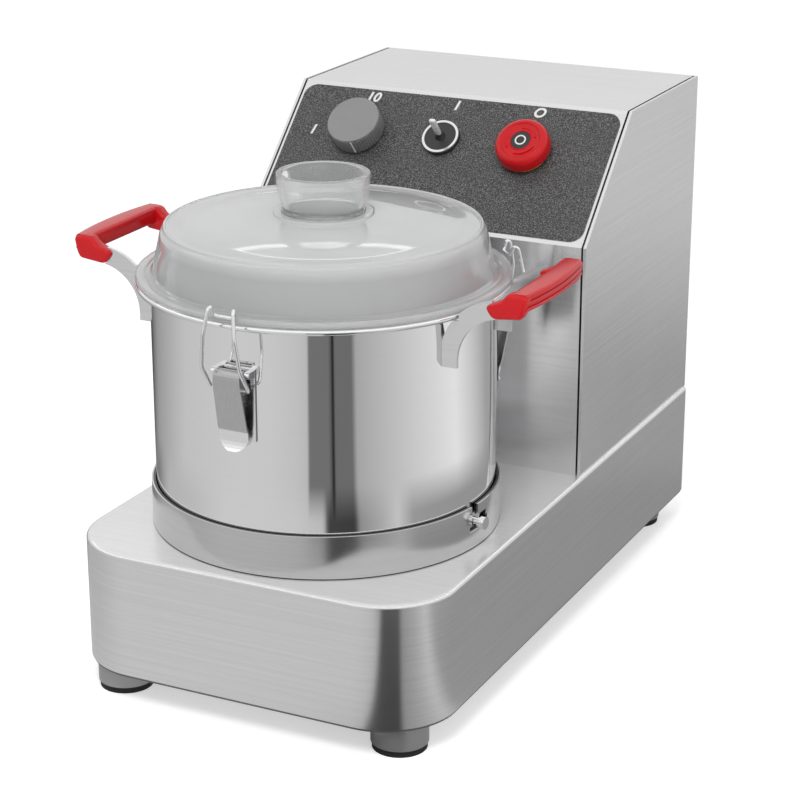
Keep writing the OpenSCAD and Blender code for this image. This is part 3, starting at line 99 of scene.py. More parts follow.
class Finish:
    """A Principled material whose colour, roughness and relief vary in object space."""

    def __init__(self, name, colour, metallic, roughness, **constants):
        self.material = bpy.data.materials.new(name)
        self.material.use_nodes = True
        self.tree = self.material.node_tree
        self.shader = self.tree.nodes["Principled BSDF"]
        self.colour = colour
        self.set("Base Color", (*colour, 1.0))
        self.set("Metallic", metallic)
        self.set("Roughness", roughness)
        for key, value in constants.items():
            self.set(key.replace("_", " "), value)
        self.coords = self.add("ShaderNodeTexCoord").outputs["Object"]
        self.normal = None

    def set(self, socket, value):
        self.shader.inputs[socket].default_value = value

    def add(self, kind, links=None, **settings):
        node = self.tree.nodes.new(kind)
        for key, value in settings.items():
            setattr(node, key, value)
        for key, value in (links or {}).items():
            if isinstance(value, bpy.types.NodeSocket):
                self.tree.links.new(value, node.inputs[key])
            else:
                node.inputs[key].default_value = value
        return node

    def noise(self, scale, stretch=EVEN, detail=2.0, rough=0.5):
        mapped = self.add("ShaderNodeMapping", {"Vector": self.coords, "Scale": stretch}).outputs[0]
        links = {"Vector": mapped, "Scale": scale, "Detail": detail, "Roughness": rough}
        return self.add("ShaderNodeTexNoise", links).outputs["Fac"]

    def ramp(self, fac, low, high, out_low=0.0, out_high=1.0):
        return self.add("ShaderNodeMapRange", {"Value": fac, "From Min": low, "From Max": high,
                                               "To Min": out_low, "To Max": out_high}).outputs["Result"]

    def mix(self, fac, a, b):
        node = self.add("ShaderNodeMix", data_type="RGBA")
        self.tree.links.new(fac, node.inputs["Factor"])
        for key, value in ((6, a), (7, b)):
            if isinstance(value, bpy.types.NodeSocket):
                self.tree.links.new(value, node.inputs[key])
            else:
                node.inputs[key].default_value = (*value, 1.0)
        return node.outputs[2]

    def tint(self, fac, amount):
        low = tuple(c * (1 - amount) for c in self.colour)
        high = tuple(min(1.0, c * (1 + amount)) for c in self.colour)
        self.paint(self.mix(fac, low, high))

    def paint(self, socket):
        self.drive("Base Color", socket)

    def drive(self, key, socket):
        self.tree.links.new(socket, self.shader.inputs[key])

    def rough(self, fac, low, high):
        self.drive("Roughness", self.ramp(fac, 0.3, 0.7, low, high))

    def bump(self, fac, strength, distance):
        links = {"Height": fac, "Strength": strength, "Distance": distance}
        if self.normal is not None:
            links["Normal"] = self.normal
        self.normal = self.add("ShaderNodeBump", links).outputs["Normal"]
        self.drive("Normal", self.normal)

    def height(self):
        return self.add("ShaderNodeSeparateXYZ", {"Vector": self.coords}).outputs["Z"]

    def math(self, operation, a, b):
        return self.add("ShaderNodeMath", {0: a, 1: b}, operation=operation).outputs[0]


def steel_lines(f, streak, tint):
    """Tone that follows the brushing, with a fine grain over it."""
    fine = f.noise(2600.0, EVEN, 1.0)
    cloud = f.noise(14.0, EVEN, 3.0)
    f.tint(f.ramp(f.math("ADD", streak, fine), 0.6, 1.4), tint)
    return cloud


def brushed(name, colour, roughness, across, tint, relief, grain=0.0):
    """Rolled steel; a grain draws its reflections out across the brushing and dulls its flat tops."""
    f = Finish(name, colour, 1.0, roughness, Anisotropic=grain)
    streak = f.noise(1.0, across, 3.0, 0.6)
    if grain:
        upright = f.add("ShaderNodeCombineXYZ", {"X": 0.0, "Y": BRUSH_LEAN, "Z": 1.0}).outputs[0]
        f.drive("Tangent", upright)
        normal = f.add("ShaderNodeNewGeometry").outputs["Normal"]
        level = f.ramp(f.add("ShaderNodeSeparateXYZ", {"Vector": normal}).outputs["Z"], 0.6, 0.9)
        flat = f.noise(1.0, (across[0], across[2], across[1]), 3.0, 0.6)
        streak = f.add("ShaderNodeMix", {0: level, 2: streak, 3: flat}).outputs[0]
        f.drive("Metallic", f.ramp(level, 0.0, 1.0, 1.0, FLAT_METAL))
    cloud = steel_lines(f, streak, tint)
    f.rough(cloud, roughness * 0.88, roughness * 1.12)
    f.bump(streak, relief, FINE_RELIEF)
    return f.material


def turned(name, colour, roughness):
    """Lathe-cut metal, with rings round its axis."""
    f = Finish(name, colour, 1.0, roughness)
    rings = f.noise(1.0, (40, 40, 2200), 2.0)
    cloud = f.noise(60.0, EVEN, 3.0)
    f.tint(cloud, 0.06)
    f.rough(rings, roughness - 0.04, roughness + 0.06)
    f.bump(rings, 0.08, FINE_RELIEF)
    return f.material


def cast(name, colour, roughness, metallic=1.0, grain=700.0):
    """Cast or painted metal, with fine pits."""
    f = Finish(name, colour, metallic, roughness)
    pits = f.noise(grain, EVEN, 4.0, 0.6)
    cloud = f.noise(30.0)
    f.tint(cloud, 0.12)
    f.rough(pits, roughness - 0.06, roughness + 0.08)
    f.bump(pits, 0.35, 0.0005)
    return f.material


def moulded(name, colour, roughness, grain=1400.0, relief=0.12, mirror=0.5):
    """Plastic or soft seal from a mould."""
    f = Finish(name, colour, 0.0, roughness, Specular_IOR_Level=mirror)
    skin = f.noise(grain, EVEN, 3.0)
    cloud = f.noise(45.0)
    f.tint(cloud, 0.05)
    f.rough(cloud, roughness - 0.04, roughness + 0.05)
    f.bump(skin, relief, FINE_RELIEF)
    return f.material


def clear(name, colour, roughness, see_through=1.0):
    """Clear plastic with faint scuffs."""
    f = Finish(name, colour, 0.0, roughness, Transmission_Weight=see_through, IOR=PLASTIC_IOR)
    flow = f.noise(30.0)
    scuff = f.noise(1.0, (900, 900, 60))
    f.tint(flow, 0.015)
    f.rough(scuff, roughness, roughness + 0.05)
    f.bump(flow, 0.05, 0.002)
    return f.material


def clear_lid():
    """The lid's plastic: hazed on top by the moulding, and clearer down its side."""
    f = Finish("plastic_lid", (0.9, 0.905, 0.91), 0.0, 0.03, IOR=PLASTIC_IOR)
    f.drive("Transmission Weight", f.ramp(f.height(), 0.338, 0.350, 0.64, 0.42))
    flow = f.noise(30.0)
    f.tint(flow, 0.03)
    f.rough(f.noise(70.0), 0.03, 0.06)
    f.bump(flow, 0.04, 0.002)
    return f.material


def lever_finish():
    """Pressed lever: satin down to the fold near its tip, with a painted highlight on the curled tip below
    it.
    """
    f = Finish("steel_lever", (0.5, 0.5, 0.505), 1.0, 0.2)
    # painted highlight: below the fold the curled tip is coloured bright steel
    painted_tip_highlight = f.ramp(f.height(), 0.2305, 0.2295)
    streak = f.noise(1.0, (900, 900, 6), 3.0)
    satin = f.mix(streak, (0.46, 0.46, 0.465), (0.54, 0.54, 0.545))
    f.paint(f.mix(painted_tip_highlight, satin, BRIGHT_STEEL))
    f.rough(f.noise(60.0), 0.17, 0.24)
    f.bump(streak, 0.04, FINE_RELIEF)
    return f.material


def from_axis(f):
    """Distance from the bowl's axis, and height."""
    place = f.add("ShaderNodeMapping", {"Vector": f.coords, "Location": (0, -BOWL_Y * MM, 0)}).outputs[0]
    parts = f.add("ShaderNodeSeparateXYZ", {"Vector": place})
    around = f.add("ShaderNodeCombineXYZ", {"X": parts.outputs["X"], "Y": parts.outputs["Y"]}).outputs[0]
    return f.add("ShaderNodeVectorMath", {0: around}, operation="LENGTH").outputs["Value"], parts.outputs["Z"]


def bowl_finish():
    """Polished steel, with a duller face inside the bowl."""
    f = Finish("steel_bowl", BRIGHT_STEEL, 1.0, 0.05)
    inside = f.ramp(from_axis(f)[0], 0.1279, 0.1274)
    streak = f.noise(1.0, BRIGHT_LINES, 3.0, 0.6)
    outside = f.ramp(steel_lines(f, streak, 0.015), 0.3, 0.7, 0.044, 0.056)
    dull = f.ramp(inside, 0.0, 1.0, 0.0, INSIDE_ROUGHNESS)
    f.drive("Roughness", f.math("ADD", outside, dull))
    f.drive("Metallic", f.ramp(inside, 0.0, 1.0, 1.0, INSIDE_METAL))
    f.bump(streak, 0.006, FINE_RELIEF)
    return f.material


def ring_finish():
    """The ring's steel, with painted shade on its inner lip and its foot, where it meets the bowl and the
    base.
    """
    f = Finish("steel_ring", (0.6, 0.6, 0.605), 1.0, 0.19)
    radius, height = from_axis(f)
    inner = f.ramp(radius, 0.13105, 0.13095)
    foot = f.ramp(height, 0.1225, 0.1222)
    streak = f.noise(1.0, STEEL_LINES, 3.0, 0.6)
    steel = f.mix(streak, (0.56, 0.56, 0.565), (0.64, 0.64, 0.645))
    # painted shade: the inner lip and the foot are coloured near black
    f.paint(f.mix(f.math("MAXIMUM", inner, foot), steel, SHADE))
    f.bump(streak, 0.05, FINE_RELIEF)
    return f.material


def printed_label():
    """Dark printed film with light specks."""
    f = Finish("label_print", (0.075, 0.075, 0.078), 0.0, 0.42)
    speck = f.noise(1150.0, EVEN, 1.0, 0.4)
    mask = f.ramp(speck, 0.47, 0.68)
    cloud = f.noise(18.0)
    base = f.mix(cloud, (0.026, 0.026, 0.027), (0.036, 0.036, 0.037))
    f.paint(f.mix(mask, base, (0.21, 0.21, 0.215)))
    f.rough(speck, 0.36, 0.5)
    f.bump(speck, 0.12, FINE_RELIEF)
    return f.material


def board():
    """Circuit board, with pale tracks under its green."""
    f = Finish("board_laminate", (0.02, 0.16, 0.06), 0.0, 0.4)
    weave = f.noise(900.0, (1, 1, 0.3))
    tracks = f.add("ShaderNodeTexVoronoi", {"Vector": f.coords, "Scale": 260.0}).outputs["Distance"]
    f.paint(f.mix(f.ramp(tracks, 0.1, 0.22), (0.35, 0.4, 0.2), (0.02, 0.15, 0.06)))
    f.bump(weave, 0.1, FINE_RELIEF)
    return f.material


def winding():
    """Varnished copper wire, wound in bands."""
    f = Finish("copper_winding", (0.62, 0.27, 0.12), 1.0, 0.3)
    links = {"Vector": f.coords, "Scale": 260.0, "Distortion": 1.5}
    wire = f.add("ShaderNodeTexWave", links, bands_direction="Z").outputs["Fac"]
    f.tint(wire, 0.3)
    f.bump(wire, 0.5, 0.0006)
    return f.material


def rubber(name, colour, roughness):
    f = Finish(name, colour, 0.0, roughness, Specular_IOR_Level=0.3)
    skin = f.noise(500.0, EVEN, 4.0, 0.65)
    dust = f.noise(25.0)
    f.tint(dust, 0.2)
    f.rough(skin, roughness - 0.08, roughness + 0.1)
    f.bump(skin, 0.3, 0.0004)
    return f.material


finishes = {
    "brushed_stainless": brushed("steel_brushed", STEEL, 0.2, STEEL_LINES, 0.07, 0.05, 0.8),
    "polished_stainless": brushed("steel_polished", BRIGHT_STEEL, 0.05, BRIGHT_LINES, 0.015, 0.006),
    "bright_wire": turned("wire_bright", (0.82, 0.82, 0.83), 0.14),
    "dark_plate": cast("plate_dark", (0.16, 0.16, 0.165), 0.5, 0.6),
    "cast_aluminium": cast("aluminium_cast", (0.66, 0.66, 0.67), 0.38),
    "motor_paint": cast("motor_paint", (0.06, 0.11, 0.2), 0.42, 0.0, 500.0),
    "stator_copper": winding(),
    "core_steel": turned("core_steel", (0.42, 0.42, 0.44), 0.36),
    "bearing_steel": turned("bearing_steel", (0.62, 0.62, 0.65), 0.16),
    "blade_steel": brushed("steel_blade", (0.78, 0.78, 0.79), 0.16, (900, 900, 20), 0.04, 0.04),
    "clear_plastic": clear("plastic_clear", (0.985, 0.99, 0.99), 0.015),
    "red_plastic": moulded("plastic_red", (0.64, 0.008, 0.013), 0.17, 1200.0, 0.06, 0.32),
    "yellow_plastic": moulded("plastic_yellow", (0.85, 0.5, 0.03), 0.35),
    "black_label": printed_label(),
    "black_plastic": moulded("plastic_black", (0.028, 0.028, 0.03), 0.38),
    "grey_plastic": moulded("plastic_grey", (0.27, 0.27, 0.275), 0.42, 900.0, 0.2),
    "cap_grey": turned("cap_grey", (0.31, 0.31, 0.315), 0.42),
    "white_nylon": moulded("nylon_white", (0.8, 0.79, 0.75), 0.45),
    "board_green": board(),
    "black_rubber": rubber("rubber_black", (0.018, 0.018, 0.019), 0.68),
    "clear_rubber": moulded("silicone_seal", (0.78, 0.78, 0.76), 0.4),
}

lid_plastic = clear_lid()
cup_plastic = clear("plastic_glassy", (0.97, 0.975, 0.975), 0.01, 0.8)
lever_steel = lever_finish()
special = {name: lever_steel for name in ("front_lever", "right_lever", "left_lever")}
special["bowl_ring"] = ring_finish()
special["foot_cups"] = cast("foot_metal", (0.36, 0.36, 0.365), 0.36, 0.6, 300.0)
toggle_satin = cast("toggle_satin", (0.92, 0.92, 0.92), 0.3, 0.25, 300.0)
ink = Finish("print_white", (0.88, 0.88, 0.88), 0.0, 0.5)
ink.tint(ink.noise(2200.0), 0.06)
ink.bump(ink.noise(1800.0), 0.1, 0.0001)
print_white = ink.material

slot_of = {}
for entry in frame["record"]["materials"]:
    for name in entry.get("nodes", []):
        slot_of[name] = entry["slot"]
for name, obj in frame["nodes"].items():
    slot = slot_of.get(name)
    for held in obj.material_slots:
        chosen = slot or (held.material.name.split(".")[0] if held.material else None)
        if chosen in finishes:
            held.material = special.get(name) or finishes[chosen]

for name, width in BEVELS.items():
    soften = frame["nodes"][name].modifiers.new("soften", "BEVEL")
    soften.width = width * MM
    soften.segments = 2
    soften.limit_method = "ANGLE"
    soften.angle_limit = math.radians(45)
    soften.harden_normals = True


# Mesh tools

def at_bowl(p):
    return (p[0], p[1] + BOWL_Y, p[2])


def around_bowl(angle):
    c, s = math.cos(math.radians(angle)), math.sin(math.radians(angle))
    return lambda p: (p[0] * c - p[1] * s, p[0] * s + p[1] * c + BOWL_Y, p[2])


def on_panel(at, lift=0.0):
    """Across, up and out of the sloping panel, to the part's frame."""
    c, s = math.cos(PANEL), math.sin(PANEL)

    def place(p):
        x, up, out = p[0] + at[0], p[1] + at[1], p[2] + lift
        return (x, CONSOLE_Y + up * c - out * s, FOLD_Z + up * s + out * c)
    return place


def piece(name, verts, faces, body, slot, sharp, place=None, finish=None):
    """A smooth mesh with edges kept over an angle, that rides on a body."""
    if place:
        verts = [place(v) for v in verts]
    mesh = bpy.data.meshes.new(name)
    mesh.from_pydata([tuple(c * MM for c in v) for v in verts], [], faces)
    bm = bmesh.new()
    bm.from_mesh(mesh)
    bmesh.ops.remove_doubles(bm, verts=bm.verts, dist=1e-6)
    bmesh.ops.recalc_face_normals(bm, faces=bm.faces)
    bm.to_mesh(mesh)
    bm.free()
    mesh.shade_smooth()
    mesh.set_sharp_from_angle(angle=math.radians(sharp))
    obj = bpy.data.objects.new(name, mesh)
    scene.collection.objects.link(obj)
    mesh.materials.append(finish or finishes[slot])
    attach(obj, body)
    return obj


def tube_faces(n, rings):
    """Faces between rings of n points each, with both ends closed."""
    faces = []
    for i in range(1, rings):
        for j in range(n):
            m = (j + 1) % n
            faces.append(((i - 1) * n + j, (i - 1) * n + m, i * n + m, i * n + j))
    return faces + [tuple(range(n)), tuple(range((rings - 1) * n, rings * n))]


def turned_faces(profile, steps):
    """Faces round the axis along a closed profile, with none on the axis itself."""
    n = len(profile)
    faces = []
    for i in range(steps):
        k = (i + 1) % steps
        for j in range(n):
            m = (j + 1) % n
            if max(profile[j][0], profile[m][0]) >= 1e-9:
                faces.append((i * n + j, k * n + j, k * n + m, i * n + m))
    return faces


def revolve(profile, steps):
    verts = [(r * math.cos(2 * math.pi * i / steps), r * math.sin(2 * math.pi * i / steps), z)
             for i in range(steps) for r, z in profile]
    return verts, turned_faces(profile, steps)


def arc(centre, r, start, end, steps):
    out = []
    for i in range(steps + 1):
        a = math.radians(start + (end - start) * i / steps)
        out.append((centre[0] + r * math.cos(a), centre[1] + r * math.sin(a)))
    return out


def bend(a, b, c, steps):
    """A parabola from a to c, drawn toward b."""
    out = []
    for i in range(steps + 1):
        u = i / steps
        out.append(tuple((1 - u) ** 2 * p + 2 * u * (1 - u) * q + u * u * r for p, q, r in zip(a, b, c)))
    return out


def corner(before, at, after, radius, share, steps):
    """A corner bent round, taking at most a share of each side."""
    a, p, b = Vector(before), Vector(at), Vector(after)
    cut = min(radius, (a - p).length * share, (b - p).length * share)
    return bend(p + (a - p).normalized() * cut, p, p + (b - p).normalized() * cut, steps)


def rounded(path, radius, steps=6):
    out = [path[0]]
    for before, at, after in zip(path, path[1:], path[2:]):
        out += corner(before, at, after, radius, 0.45, steps)
    return out + [path[-1]]


def round_outline(points, radius, steps):
    out = []
    for i, at in enumerate(points):
        after = points[(i + 1) % len(points)]
        out += corner(points[i - 1], at, after, radius, 0.4, steps)
    return out


def sweep(path, section):
    """Section points run along a path, with a frame carried from point to point."""
    pts = [Vector(p) for p in path]
    tangents = []
    for i in range(len(pts)):
        tangents.append((pts[min(i + 1, len(pts) - 1)] - pts[max(i - 1, 0)]).normalized())
    side = tangents[0].orthogonal().normalized()
    verts = []
    for p, t in zip(pts, tangents):
        side = (side - t * side.dot(t)).normalized()
        up = t.cross(side)
        verts += [tuple(p + side * a + up * b) for a, b in section]
    return verts, tube_faces(len(section), len(pts))


def circle(r, steps):
    return arc((0, 0), r, 0, 360 - 360 / steps, steps - 1)


def merged(*parts):
    verts, faces = [], []
    for v, f in parts:
        base = len(verts)
        verts += v
        faces += [tuple(i + base for i in face) for face in f]
    return verts, faces


def soft_prism(outline, low, high, edge, steps):
    """A prism of a convex outline in the XZ plane along Y, with its ends rounded over."""
    cx = sum(p[0] for p in outline) / len(outline)
    cz = sum(p[1] for p in outline) / len(outline)
    rings = []
    for i in range(steps + 1):
        turn = math.pi / 2 * i / steps
        rings.append((low + edge * (1 - math.cos(turn)), edge * (1 - math.sin(turn))))
    rings += [(high - (y - low), margin) for y, margin in rings[::-1]]
    verts = []
    for y, margin in rings:
        for x, z in outline:
            d = math.hypot(x - cx, z - cz)
            keep = max(0.0, 1 - margin / d) if d else 1
            verts.append((cx + (x - cx) * keep, y, cz + (z - cz) * keep))
    return verts, tube_faces(len(outline), len(rings))


# Bowl and lid

bowl_line = (
    [(20, 124), (60, 124)] + arc((110.5, 142), 18, -90, 0, 12) + [(128.5, 220), (128.5, 305.5)]
    + arc((131.5, 305.5), 3, 180, 90, 6) + [(135.4, 308.5)]
    + arc((137, 307.8), 2.2, 215, 450, 20) + [(134.4, 310)]
    + arc((131.5, 305.5), 4.5, 90, 180, 8) + [(127, 220), (127, 142)]
    + arc((110.5, 142), 16.5, 0, -90, 12) + [(60, 125.5)]
    + arc((23.5, 127.5), 2, -90, -180, 5) + [(21.5, 195.3), (21, 196), (20.5, 196), (20, 195.5)]
)
bowl = piece("bowl_pressing", *revolve(bowl_line, 288), "bowl_body", "polished_stainless", 40,
             at_bowl, bowl_finish())
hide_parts("bowl", "bowl_floor", "bowl_tube")

lid_line = (
    [(30.3, 333.2), (30.3, 357.5), (30.8, 358), (36.3, 358), (37, 357.3), (37.2, 356.4), (38.4, 356)]
    + bend((44, 356), (68, 355.9), (104.5, 349.3), 12)
    + [(109, 349.3)] + arc((112.5, 341.3), 8, 90, 72, 3)
    + arc((116.4, 348.7), 1.2, 165, 10, 8)
    + arc((112.5, 341.3), 8, 48, 10, 5)
    + [(126.1, 317.2), (126.6, 315.6), (127.8, 314.8), (129, 314.7), (131, 314.7)]
    + [(131.6, 314.35), (132.3, 314.35), (132.9, 314.7)]
    + arc((137, 312.5), 2.2, 90, -90, 10)
    + [(133.25, 310.3), (133.25, 312), (129.15, 312), (129.15, 310.3), (124.6, 310.3), (123.8, 311.2)]
    + [(123.5, 314)] + arc((112.5, 341.3), 5, 10, 90, 8)
    + bend((104.5, 346.3), (66, 353), (36, 353), 10)
    + [(33.4, 352.6), (32.6, 351.8), (32.6, 333.2), (32.1, 332.7), (30.8, 332.7)]
)
lid = piece("lid_dome", *revolve(lid_line, 240), "lid_body", "clear_plastic", 38, at_bowl, lid_plastic)
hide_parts("lid")

cup_line = (
    [(0, 338.3), (29, 338.3), (29.9, 339.2), (29.9, 358.3), (31.2, 358.3)]
    + [(31.2, 359.7), (30.7, 360.3), (28.6, 360.3)]
    + bend((28.3, 360.8), (34.6, 365.6), (34.6, 385.9), 14)
    + arc((33.1, 385.9), 1.5, 0, 90, 5) + arc((31.6, 386.4), 1.0, 90, 170, 4)
    + bend((30.4, 384.4), (29.8, 364.5), (24.6, 361.2), 10)
    + bend((23.2, 358.6), (22.0, 352), (22.0, 349), 6)
    + arc((18.0, 346.3), 4, 0, -90, 5) + [(10, 342.3), (0, 342.3)]
)
cup = piece("feed_cup_moulding", *revolve(cup_line, 160), "cup_body", "clear_plastic", 38,
            at_bowl, cup_plastic)
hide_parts("feed_cup")

# Latches

for side, angle in LATCH_ANGLES.items():
    half = [(BAIL_PIVOT[0], 8.5, BAIL_PIVOT[1]), (BAIL_PIVOT[0], 15.4, BAIL_PIVOT[1]),
            (148.508, 15.4, 279.508), (150.46, 12.628, 302.498), (146.704, 10.01, 321.277),
            (143.7, 9.24, 322.68), (140.9, 8.778, 315.4)]
    path = half + [(x, -y, z) for x, y, z in half[::-1]]
    wire = piece(f"{side}_bail_wire", *sweep(rounded(path, WIRE_BEND), circle(WIRE_R, 14)),
                 f"{side}_wire", "bright_wire", 50, around_bowl(angle))
    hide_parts(f"{side}_bail")

# Handle grips

# One groove along the bar: depth and height from its middle
GROOVE = [(0, -1.3), (0.4, -1.0), (1.4, -0.5), (1.4, 0.5), (0.4, 1.0), (0, 1.3)]
GROOVE_HEIGHTS = (322.33, 326.67)
CAP_CORNERS = [(29.5, 0.5), (51.5, 3), (54, 7.5), (56.5, 20), (41.5, 21), (36.5, 15), (23.5, 9.5)]
CAP_ENDS = (42, 53)
CAP_EDGE = 3.2


def grip_bar(steps=40):
    """The bowed bar of a grip: a rounded section with two grooves along its outer face."""
    half, bow, reach = 52.9, 4.8, 50.4
    radius = (half * half + bow * bow) / 2 / bow
    inner, low, high, r = BOWL_R + 42.5, 318.0, 331.0, 3.0
    verts = []
    for i in range(steps + 1):
        y = -reach + 2 * reach * i / steps
        out = BOWL_R + 55 + bow - radius + math.sqrt(radius * radius - y * y)
        lines = arc((out - r, low + r), r, -90, 0, 5)
        for level in GROOVE_HEIGHTS:
            lines += [(out - deep, level + off) for deep, off in GROOVE]
        lines += arc((out - r, high - r), r, 0, 90, 5)
        lines += arc((inner + r, high - r), r, 90, 180, 5) + arc((inner + r, low + r), r, 180, 270, 5)
        verts += [(x, y, z) for x, z in lines]
    return verts, tube_faces(len(lines), steps + 1)


cap = round_outline([(BOWL_R + x, RIM_Z + z) for x, z in CAP_CORNERS], 4.5, 6)
near_end, far_end = CAP_ENDS
shapes = merged(grip_bar(), soft_prism(cap, near_end, far_end, CAP_EDGE, 7),
                soft_prism(cap, -far_end, -near_end, CAP_EDGE, 7))
both = merged(*([[around_bowl(turn)(v) for v in shapes[0]], shapes[1]] for turn in (0, 180)))
grips = piece("grip_mouldings", *both, "bowl_body", "red_plastic", 40)
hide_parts("handle_grips")

# Controls

def fluted(profile, count, depth, steps=8):
    """A turned shape with narrow grooves; each profile point says its share of the grooves' depth."""
    total = count * steps
    groove = [max(0.0, 1 - abs((k % steps) - steps / 2) / (steps / 4)) for k in range(total)]
    verts = []
    for k in range(total):
        a = 2 * math.pi * k / total
        for r, z, share in profile:
            cut = r - depth * share * groove[k]
            verts.append((cut * math.cos(a), cut * math.sin(a), z))
    return verts, turned_faces(profile, total)


knob_line = [(0, 14.9, 0), (21.6, 14.9, 0), (22.0, 14.7, 0.5), (22.3, 14.2, 1), (22.3, 0.8, 1),
             (22.0, 0.2, 1), (21.6, 0, 0.6), (9.0, 0, 0), (9.0, 3.0, 0), (3.3, 3.0, 0), (3.3, 12.1, 0),
             (0, 12.1, 0)]
knob = piece("speed_knob_moulding", *fluted(knob_line, 58, 0.85), "speed_control", "grey_plastic", 30,
             on_panel(KNOB, KNOB_LIFT))
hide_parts("speed_knob")
cap_line = [(0, 14.92), (21.4, 14.92), (21.85, 15.1), (21.85, 15.45), (21.3, 16.0), (20.7, 16.1), (0, 16.1)]
knob_disc = piece("knob_cap_disc", *revolve(cap_line, 160), "speed_control", "cap_grey", 25,
                  on_panel(KNOB, KNOB_LIFT))
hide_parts("knob_cap")


def patch(start, end, inner, outer, low, high, steps=4):
    """A curved bar between two angles, radii and heights."""
    verts = []
    for i in range(steps + 1):
        a = math.radians(start + (end - start) * i / steps)
        for r, z in ((inner, low), (outer, low), (outer, high), (inner, high)):
            verts.append((r * math.cos(a), r * math.sin(a), z))
    return verts, tube_faces(4, steps + 1)


piece("knob_pointer", *patch(-77.6, -74.4, 21.2, 22.45, 0.9, 14.6), "speed_control", "white_nylon", 30,
      on_panel(KNOB, KNOB_LIFT), print_white)


def loft(levels, steps=28):
    """Rings of rounded-rectangle section: half width, half depth and height of each level."""
    squareness = 0.6
    verts = []
    for wide, deep, z in levels:
        for k in range(steps):
            a = 2 * math.pi * k / steps
            c, s = math.cos(a), math.sin(a)
            verts.append((wide * math.copysign(abs(c) ** squareness, c),
                          deep * math.copysign(abs(s) ** squareness, s), z))
    return verts, tube_faces(steps, len(levels))


toggle_levels = [(1.6, 1.1, 0), (1.9, 1.3, 5.5), (2.6, 1.6, 9), (2.8, 1.7, 23.6), (2.6, 1.6, 25.0),
                 (1.9, 1.1, 25.8), (0.8, 0.4, 26.0)]
toggle = piece("toggle_bar", *loft(toggle_levels), "start_toggle", "bright_wire", 40,
               on_panel(SWITCH, TOGGLE_LIFT), toggle_satin)
boot_line = [(0, -4.4), (2.4, -3.7), (4.0, -2.0), (4.45, 0), (3.9, 2.1), (2.7, 3.4), (2.3, 4.4), (2.25, 6.2),
             (2.0, 6.6), (0, 6.6)]
piece("toggle_boot", *revolve(boot_line, 40), "start_toggle", "black_plastic", 40,
      on_panel(SWITCH, TOGGLE_LIFT))
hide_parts("switch_lever")

stop_line = (
    [(0, 12.35), (6.15, 12.35), (6.15, 8.0), (19.6, 8.0), (19.7, 5.5)] + arc((21.4, 6.2), 0.9, -110, 0, 5)
    + bend((22.3, 10.6), (22.2, 16.9), (17.6, 18.2), 10) + arc((16.8, 17.4), 0.9, 70, 150, 4)
    + [(15.6, 17.2), (15.0, 16.9), (9.4, 17.1), (8.9, 17.7), (8.4, 17.75), (8.2, 17.5), (8.2, 16.7)]
    + [(0, 16.7)]
)

# Three raised curved bars round the button's face
RIB_R = 11.9
RIB_Z = 16.95
ribs = []
for k in range(3):
    turns = [math.radians(120 * k + 20 + 8 * i) for i in range(11)]
    path = [(RIB_R * math.cos(a), RIB_R * math.sin(a), RIB_Z) for a in turns]
    ribs.append(sweep(path, [(0.85 * a, 1.25 * b) for a, b in circle(1.0, 14)]))
stop = piece("stop_button_moulding", *merged(revolve(stop_line, 160), *ribs), "stop_head", "red_plastic", 34,
             on_panel(STOP))
disc_line = [(0, 16.6), (7.9, 16.6), (8.1, 16.8), (8.1, 17.3), (7.8, 17.55), (4, 17.75), (0, 17.8)]
piece("stop_inset_disc", *revolve(disc_line, 80), "stop_head", "black_plastic", 34, on_panel(STOP))
ring_line = [(3.4, 17.6), (4.6, 17.6), (4.6, 17.86), (3.4, 17.92)]
piece("stop_ring_mark", *revolve(ring_line, 60), "stop_head", "white_nylon", 34, on_panel(STOP), print_white)
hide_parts("stop_button")


def text_mark(name, body, at):
    """A printed mark on the panel."""
    data = bpy.data.curves.new(name, "FONT")
    data.body = body
    data.size = MARK_SIZE * MM
    data.shear = MARK_SLANT
    data.align_x = "CENTER"
    data.align_y = "CENTER"
    data.extrude = MARK_HALF_THICK * MM
    data.offset = MARK_BOLD * MM
    data.resolution_u = 6
    data.materials.append(print_white)
    obj = bpy.data.objects.new(name, data)
    scene.collection.objects.link(obj)
    x, y, z = on_panel(at, MARK_LIFT)((0, 0, 0))
    obj.matrix_world = Matrix.Translation((x * MM, y * MM, z * MM)) @ Matrix.Rotation(PANEL, 4, "X")
    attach(obj, "base")


text_mark("mark_speed_low", "1", (-119.7, 79))
text_mark("mark_speed_high", "10", (-77, 116))
text_mark("mark_start", "I", (-1.2, 116))
text_mark("mark_stop", "O", (71.2, 117))


# Stage

# Stage sizes are in metres; lifts and skies are brightnesses
FLOOR_RADIUS = 12.0
FLOOR_WHITE = (0.9, 0.9, 0.9, 1)
FLOOR_LIFT = 0.5
HORIZON_LIFT = 0.57
CARDS_RADIUS = 4.5
CARDS_Z = 0.0004
PLAIN_SKY = 0.62
SEEN_SKY = 1.08

# The reflecting cards: degrees round the bowl, and brightness there
NEAR_CARDS = [(-180, 0.5), (-150, 0.56), (-125, 0.66), (-100, 0.66), (-80, 0.64), (-64, 0.56), (-61.5, 0.06),
              (-45.5, 0.05), (-43, 0.3), (-30, 0.45), (-20, 0.62), (-10, 0.36), (0, 0.34), (60, 0.32),
              (90, 0.3), (120, 0.2), (160, 0.22), (180, 0.5)]
MIDDLE_CARDS = [(-180, 0.46), (-160, 0.6), (-116, 0.66), (-95, 0.65), (-80, 0.6), (-72.6, 0.55),
                (-72.0, 0.18), (-59.2, 0.18), (-58.8, 0.0), (-57.2, 0.0), (-56.8, 0.165), (-45.3, 0.165),
                (-44.7, 0.42), (-33, 0.5), (-5, 0.68), (26, 0.86), (45, 0.62), (63, 0.38), (95, 0.34),
                (112, 0.06), (140, 0.06), (160, 0.34), (180, 0.46)]
